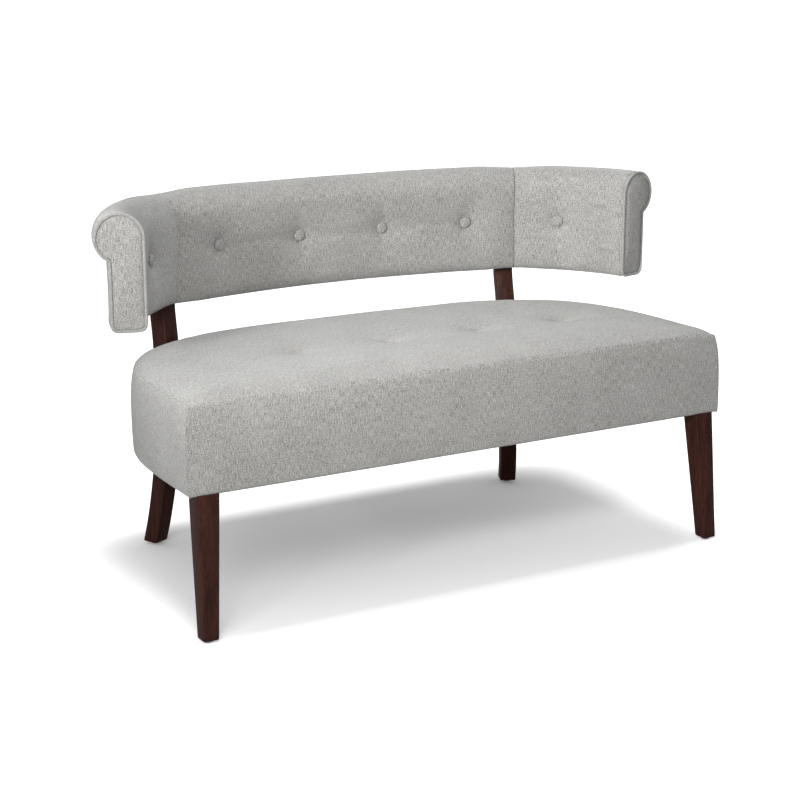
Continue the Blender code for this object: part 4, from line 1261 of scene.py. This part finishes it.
def make_piping(side_name, side):
    """A round cord carried along the outline; its ring lies between the outline's normal and the slide."""
    path = even_loop(p_outline(welt_radius), cord_steps)
    for _ in range(3):
        path = (np.roll(path, 1, 0) + 2 * path + np.roll(path, -1, 0)) / 4
    along = np.roll(path, -1, 0) - np.roll(path, 1, 0)
    along /= np.linalg.norm(along, axis=1, keepdims=True)
    square = np.stack((-along[:, 1], along[:, 0]), -1)
    turn = np.linspace(0.0, math.tau, cord_sides, endpoint=False)
    ring = path[:, None] + welt_radius * np.cos(turn)[None, :, None] * square[:, None]
    slide = np.broadcast_to(welt_radius * (cord_lift + np.sin(turn)), ring.shape[:2])
    rings = on_arm(ring[..., 0], ring[..., 1], slide, side)
    rings = np.concatenate((rings, rings[:1]))
    cord_run = run_length(np.concatenate((path, path[:1])))
    around = np.linspace(0.0, math.tau * welt_radius, cord_sides + 1)
    uv = np.stack(np.broadcast_arrays(around[None], cord_run[:, None]), -1)
    uv = np.stack((uv[..., 0] + uv[..., 1] + 80.0, uv[..., 1] - uv[..., 0]), -1)
    piping = carried("arm_piping_" + side_name, rings, uv, piping_cloth, capped=False)
    weld = bmesh.new()
    weld.from_mesh(piping.data)
    bmesh.ops.remove_doubles(weld, verts=weld.verts, dist=1e-6)
    weld.to_mesh(piping.data)
    weld.free()
    return piping


pipings = {side_name: make_piping(side_name, side) for side_name, side in sides}
print("piping:", list(pipings))

# %% [markdown]
# ## The legs
# A leg is one square section with eased corners, carried up a centre line. The front legs are straight
# and taper to the foot. The rear legs are cut like a sabre and run on up as posts that carry the back.

# %% Legs
glide_height = 0.005
foot_gap = 0.0003
foot_chamfer = np.array((0.0032, 0.0012))
leg_edge = 0.0028
leg_crease = 40.0
corner_points = 5


def eased_square():
    """Points of a quarter circle at each corner of a square, and the signs of the corner that each is at."""
    turn = np.linspace(0.0, math.pi / 2, corner_points)
    corner = np.stack((np.cos(turn), np.sin(turn)), -1)
    arcs, centres = [], []
    for quarter, signs in enumerate(((1, 1), (-1, 1), (-1, -1), (1, -1))):
        c, s = math.cos(quarter * math.pi / 2), math.sin(quarter * math.pi / 2)
        arcs.append(corner @ np.array(((c, -s), (s, c))).T)
        centres.append(np.repeat([signs], corner_points, 0))
    return np.concatenate(arcs), np.concatenate(centres)


def make_leg(name, centre, size, z, turn, side):
    """Carry the eased square, turned in plan, up the centre line."""
    arcs, centres = eased_square()
    local = centres[None] * (size[:, None, None] / 2 - leg_edge) + arcs[None] * leg_edge
    across = np.array((math.cos(turn), -math.sin(turn)))
    out = np.array((math.sin(turn), math.cos(turn)))
    plan_points = centre[:, None] + local[..., :1] * across + local[..., 1:] * out
    rings = to_frame(plan_points[..., 0] * side, plan_points[..., 1], z[:, None])
    uv = np.zeros((len(z), rings.shape[1] + 1, 2))
    uv[..., 0] = np.linspace(0.0, 4 * 0.04, rings.shape[1] + 1)
    uv[..., 1] = z[:, None]
    return carried(name, rings, uv, espresso, crease=leg_crease)


def foot_levels(top, count):
    """Heights from the glide up, with two extra ones for the eased foot."""
    start = glide_height + foot_gap
    return np.concatenate(((start, start + 0.0006), np.linspace(start + 0.002, top, count)))


front_z = foot_levels(seat_low + 0.002, 24)
front_share = (front_z - front_z[0]) / (front_z[-1] - front_z[0])
foot, knee = np.array((0.582, 0.0155)), np.array((0.5705, 0.044))
foot_size, knee_size = 0.031, 0.044
front_centre = foot + (knee - foot) * front_share[:, None]
front_size = foot_size + (knee_size - foot_size) * front_share
front_size[:2] -= foot_chamfer

post_top = 0.655
post_place = (0.4200, 0.5586)
post_size, post_taper = 0.039, 0.003
sabre_out, sabre_back = 0.029, 0.027
post_lean, lean_start = 0.0135, 0.420
rear_z = foot_levels(post_top, 60)
below = np.clip((seat_low - rear_z) / seat_low, 0.0, None)
lean = post_lean * smooth((rear_z - lean_start) / (back_low - lean_start))
rear_centre = np.stack((post_place[0] + sabre_out * below ** 1.2,
                        post_place[1] + sabre_back * below ** 3 + lean), -1)
rear_size = post_size - post_taper * below
rear_size[:2] -= foot_chamfer

legs = {}
for side_name, side in sides:
    legs["front_" + side_name] = make_leg("front_leg_wood_" + side_name, front_centre, front_size,
                                          front_z, 0.0, side)
    legs["rear_" + side_name] = make_leg("rear_leg_wood_" + side_name, rear_centre, rear_size,
                                         rear_z, mitre_turn, side)
print("legs:", [leg.name for leg in legs.values()])

# %% Glides
glide_profile = np.array(((0.0, 0.0), (0.0066, 0.0), (0.0082, 0.0006), (0.0093, 0.0018), (0.0095, 0.0028),
                          (0.0095, 0.0048), (0.0, 0.0048)))
glides = {}
for place, centre in (("front", foot), ("rear", rear_centre[0])):
    for side_name, side in sides:
        base = to_frame(centre[0] * side, centre[1], 0.0)
        glides[f"{place}_{side_name}"] = make_turned(f"glide_cup_{place}_{side_name}", base, (0, 0, 1),
                                                     glide_profile, zinc, 32)
print("glides:", list(glides))

# %% [markdown]
# ## The dust cover
# A thin black cloth is tacked under the frame to keep dust out. It is one flat sheet cut to the D,
# drawn here as a fan of rings with a slight sag between its tacks.

# %% Dust cover
dust_inset, dust_front_inset = 0.019, 0.022
dust_middle = np.array((0.0, 0.30))
dust_height, dust_sag = 0.2772, 0.0025
dust_thickness = 0.0006


def make_dust_cover():
    """Rings of the inset D shrink to a point; the sag grows as a smooth step from the edge."""
    edge = evenly(seat_line, 260)
    edge = edge - outward(edge) * dust_inset
    edge = edge[edge[:, 1] > seat_front + dust_front_inset]
    closing = np.linspace(edge[-1], edge[0], 90)[1:-1]
    loop = np.concatenate((edge, closing))
    share = np.linspace(1.0, 0.0, 24)[:-1]
    plan_points = dust_middle + share[:, None, None] * (loop - dust_middle)[None]
    sag = dust_sag * smooth((1 - share) * 1.4)
    rings = to_frame(plan_points[..., 0], plan_points[..., 1], (dust_height - sag)[:, None])
    peak = to_frame(*dust_middle, dust_height - sag[-1])[None]
    flat = np.concatenate((rings.reshape(-1, 3), peak))[:, :2]
    piece = gathered("dust_cover_cloth", rings, peak, flat, lining_cloth)
    wall = piece.modifiers.new("Thickness", "SOLIDIFY")
    wall.thickness = dust_thickness
    wall.offset = 0.0
    area = 0.5 * abs(np.sum(loop[:, 0] * np.roll(loop[:, 1], -1) - np.roll(loop[:, 0], -1) * loop[:, 1]))
    size = loop.max(0) - loop.min(0)
    return piece, (float(size[0]), float(size[1])), float(area)


dust_cover, dust_size, dust_area = make_dust_cover()
print("dust cover: cut", np.round(dust_size, 3), "m, area", round(dust_area, 3), "square metres")

# %% [markdown]
# ## Who replaces what
# Each new piece rides on the one body and stands for the CAD nodes it was drawn over, which are hidden.

# %% Fit the pieces to the frame
def fit(piece, finish, *nodes):
    """Ride on the root body and stand for CAD nodes; the finish argument is not used."""
    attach(piece, "root")
    if nodes:
        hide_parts(*nodes)


fit(side_band, "fabric", "seat_side_cover")
fit(front_panel, "fabric", "seat_front_cover")
fit(seat_top, "fabric", "seat_top_cover", "seat_foam")
fit(back_pad, "fabric", "inside_back_cover", "back_foam")
fit(outside_cover, "fabric", "outside_back_cover")
fit(dust_cover, "dust_cloth", "dust_cover")
for side_name, _ in sides:
    fit(wing_pads[side_name], "fabric", "inside_wing_cover_" + side_name, "wing_foam_" + side_name)
    fit(arm_faces[side_name], "fabric", "arm_face_" + side_name)
    fit(pipings[side_name], "piping", "arm_welt_" + side_name)
    for place in ("front", "rear"):
        fit(legs[f"{place}_{side_name}"], "dark_wood", f"{place}_leg_{side_name}")
        fit(glides[f"{place}_{side_name}"], "steel", f"glide_{place}_{side_name}")
for piece, node in zip(buttons, (3, 1, 2, 4, 5, 6)):
    fit(piece, "fabric", f"button_{node}")
for stitch in stitches:
    fit(stitch, "piping")
print("fitted:", len(buttons) + len(stitches) + len(legs) + len(glides) + 12, "pieces")

# %% [markdown]
# ## Hidden parts
# The rails, braces, blocks and bolts stay as CAD nodes and get plain sawn wood, plywood or zinc.

# %% Finish the hidden parts
finishes = {"frame_wood": frame_wood, "plywood": plywood, "steel": zinc, "foam": foam_stuff,
            "dark_wood": espresso, "fabric": chenille, "piping": piping_cloth, "dust_cloth": lining_cloth}
slots = {row["node"]: row["material_slot"] for row in frame["record"]["subparts"]}
kept = 0
for node, piece in frame["nodes"].items():
    if piece.hide_render:
        continue
    piece.data.materials.clear()
    piece.data.materials.append(finishes[slots[node]])
    kept += 1
print("hidden parts finished:", kept)

# %% [markdown]
# ## The studio
# The settee stands on a white floor that runs far behind it. Beyond the settee the floor glows for
# the camera alone, which is painted light, so that it meets the white background with no edge. It glows
# far less in a rectangle under the settee: that rectangle is painted shade, and the lamps' real soft grey
# shadow falls inside it.

# %% Floor
floor_side, floor_far = 30.0, 60.0
floor_bounce, floor_seen = (0.42, 0.42, 0.42), (0.88, 0.88, 0.88)
# Painted shade: a rectangle under the settee where the floor glows far less, round the lamps' real shadow.
shade_half_width, shade_half_depth, shade_forward = 0.61, 0.37, 0.03
shade_start, shade_end = 0.85, 1.15
glow_under, glow_beyond = 0.10, 0.80
white = (1.0, 1.0, 1.0, 1.0)

floor_mesh = bpy.data.meshes.new("floor")
floor_corners = [(-floor_side, -floor_side, 0), (floor_side, -floor_side, 0), (floor_side, floor_far, 0),
                 (-floor_side, floor_far, 0)]
floor_mesh.from_pydata(floor_corners, [], [(0, 1, 2, 3)])
floor = bpy.data.objects.new("floor", floor_mesh)
bpy.context.collection.objects.link(floor)
floor_paint, floor_tree, floor_shader = start_material("white studio floor", Roughness=1.0,
                                                       Specular_IOR_Level=0.0, Emission_Color=white)
# Painted light: the camera sees the floor paler than the light it bounces, and sees it glow, except in the
# painted-shade rectangle under the settee.
seen = add_node(floor_tree, "ShaderNodeLightPath").outputs["Is Camera Ray"]
floor_grey = mix_colour(floor_tree, seen, floor_bounce, floor_seen)
floor_tree.links.new(floor_grey, floor_shader.inputs["Base Color"])
floor_place = add_node(floor_tree, "ShaderNodeTexCoord").outputs["Object"]
floor_split = add_node(floor_tree, "ShaderNodeSeparateXYZ", Vector=floor_place)
aside = calculate(floor_tree, "ABSOLUTE", floor_split.outputs[0])
share_x = calculate(floor_tree, "DIVIDE", aside, shade_half_width)
from_middle = calculate(floor_tree, "ADD", floor_split.outputs[1], shade_forward)
share_y = calculate(floor_tree, "DIVIDE", calculate(floor_tree, "ABSOLUTE", from_middle), shade_half_depth)
floor_away = calculate(floor_tree, "SMOOTH_MAX", share_x, share_y)
floor_glow = map_range(floor_tree, floor_away, shade_start, shade_end, glow_under, glow_beyond,
                       {"interpolation_type": "SMOOTHSTEP"})
floor_light = calculate(floor_tree, "MULTIPLY", floor_glow, seen)
floor_tree.links.new(floor_light, floor_shader.inputs["Emission Strength"])
floor_mesh.materials.append(floor_paint)
print("floor:", 2 * floor_side, "m wide")

# %% [markdown]
# The light is soft and plain. A white background lights everything evenly, and looks brighter to the
# camera than it shines. A small lamp high above draws the shadow under the seat. A wide lamp from the
# front left shapes the settee, and a nearer one fills the front. A soft spot from the left lifts the
# inside of the back.

# %% Background and lamps
background_shine, background_look = 0.55, 1.05

world = bpy.data.worlds.new("studio")
world.use_nodes = True
sky = world.node_tree.nodes["Background"]
sky.inputs["Color"].default_value = white
straight_look = add_node(world.node_tree, "ShaderNodeLightPath").outputs["Is Camera Ray"]
sky_strength = map_range(world.node_tree, straight_look, 0.0, 1.0, background_shine, background_look)
world.node_tree.links.new(sky_strength, sky.inputs["Strength"])
bpy.context.scene.world = world


def add_lamp(name, kind, place, target, power, **settings):
    """A lamp at a place that looks at a target, with the settings that its kind has."""
    data = bpy.data.lights.new(name, kind)
    data.energy = power
    for setting, value in settings.items():
        setattr(data, setting, value)
    lamp = bpy.data.objects.new(name, data)
    lamp.location = place
    lamp.rotation_mode = "QUATERNION"
    lamp.rotation_quaternion = (Vector(target) - Vector(place)).to_track_quat("-Z", "Y")
    bpy.context.collection.objects.link(lamp)


add_lamp("overhead lamp", "AREA", (0.0, -0.1, 3.6), (0.0, 0.0, 0.3), 28.0, size=0.3, color=(0.96, 0.98, 1.0))
add_lamp("front lamp", "AREA", (-3.2, -2.9, 1.8), (0.0, 0.0, 0.5), 73.0, size=1.8)
add_lamp("fill lamp", "AREA", (-1.0, -1.5, 1.3), (0.45, 0.0, 0.65), 21.0, size=0.8)
add_lamp("back spot", "SPOT", (-2.5, -1.2, 1.3), (0.30, 0.0, 0.68), 400.0, spot_size=math.radians(29.0),
         spot_blend=1.0, shadow_soft_size=0.25)
bpy.context.scene.view_settings.view_transform = "Standard"
bpy.context.scene.view_settings.look = "None"
print("lamps:", [lamp.name for lamp in bpy.data.lights])
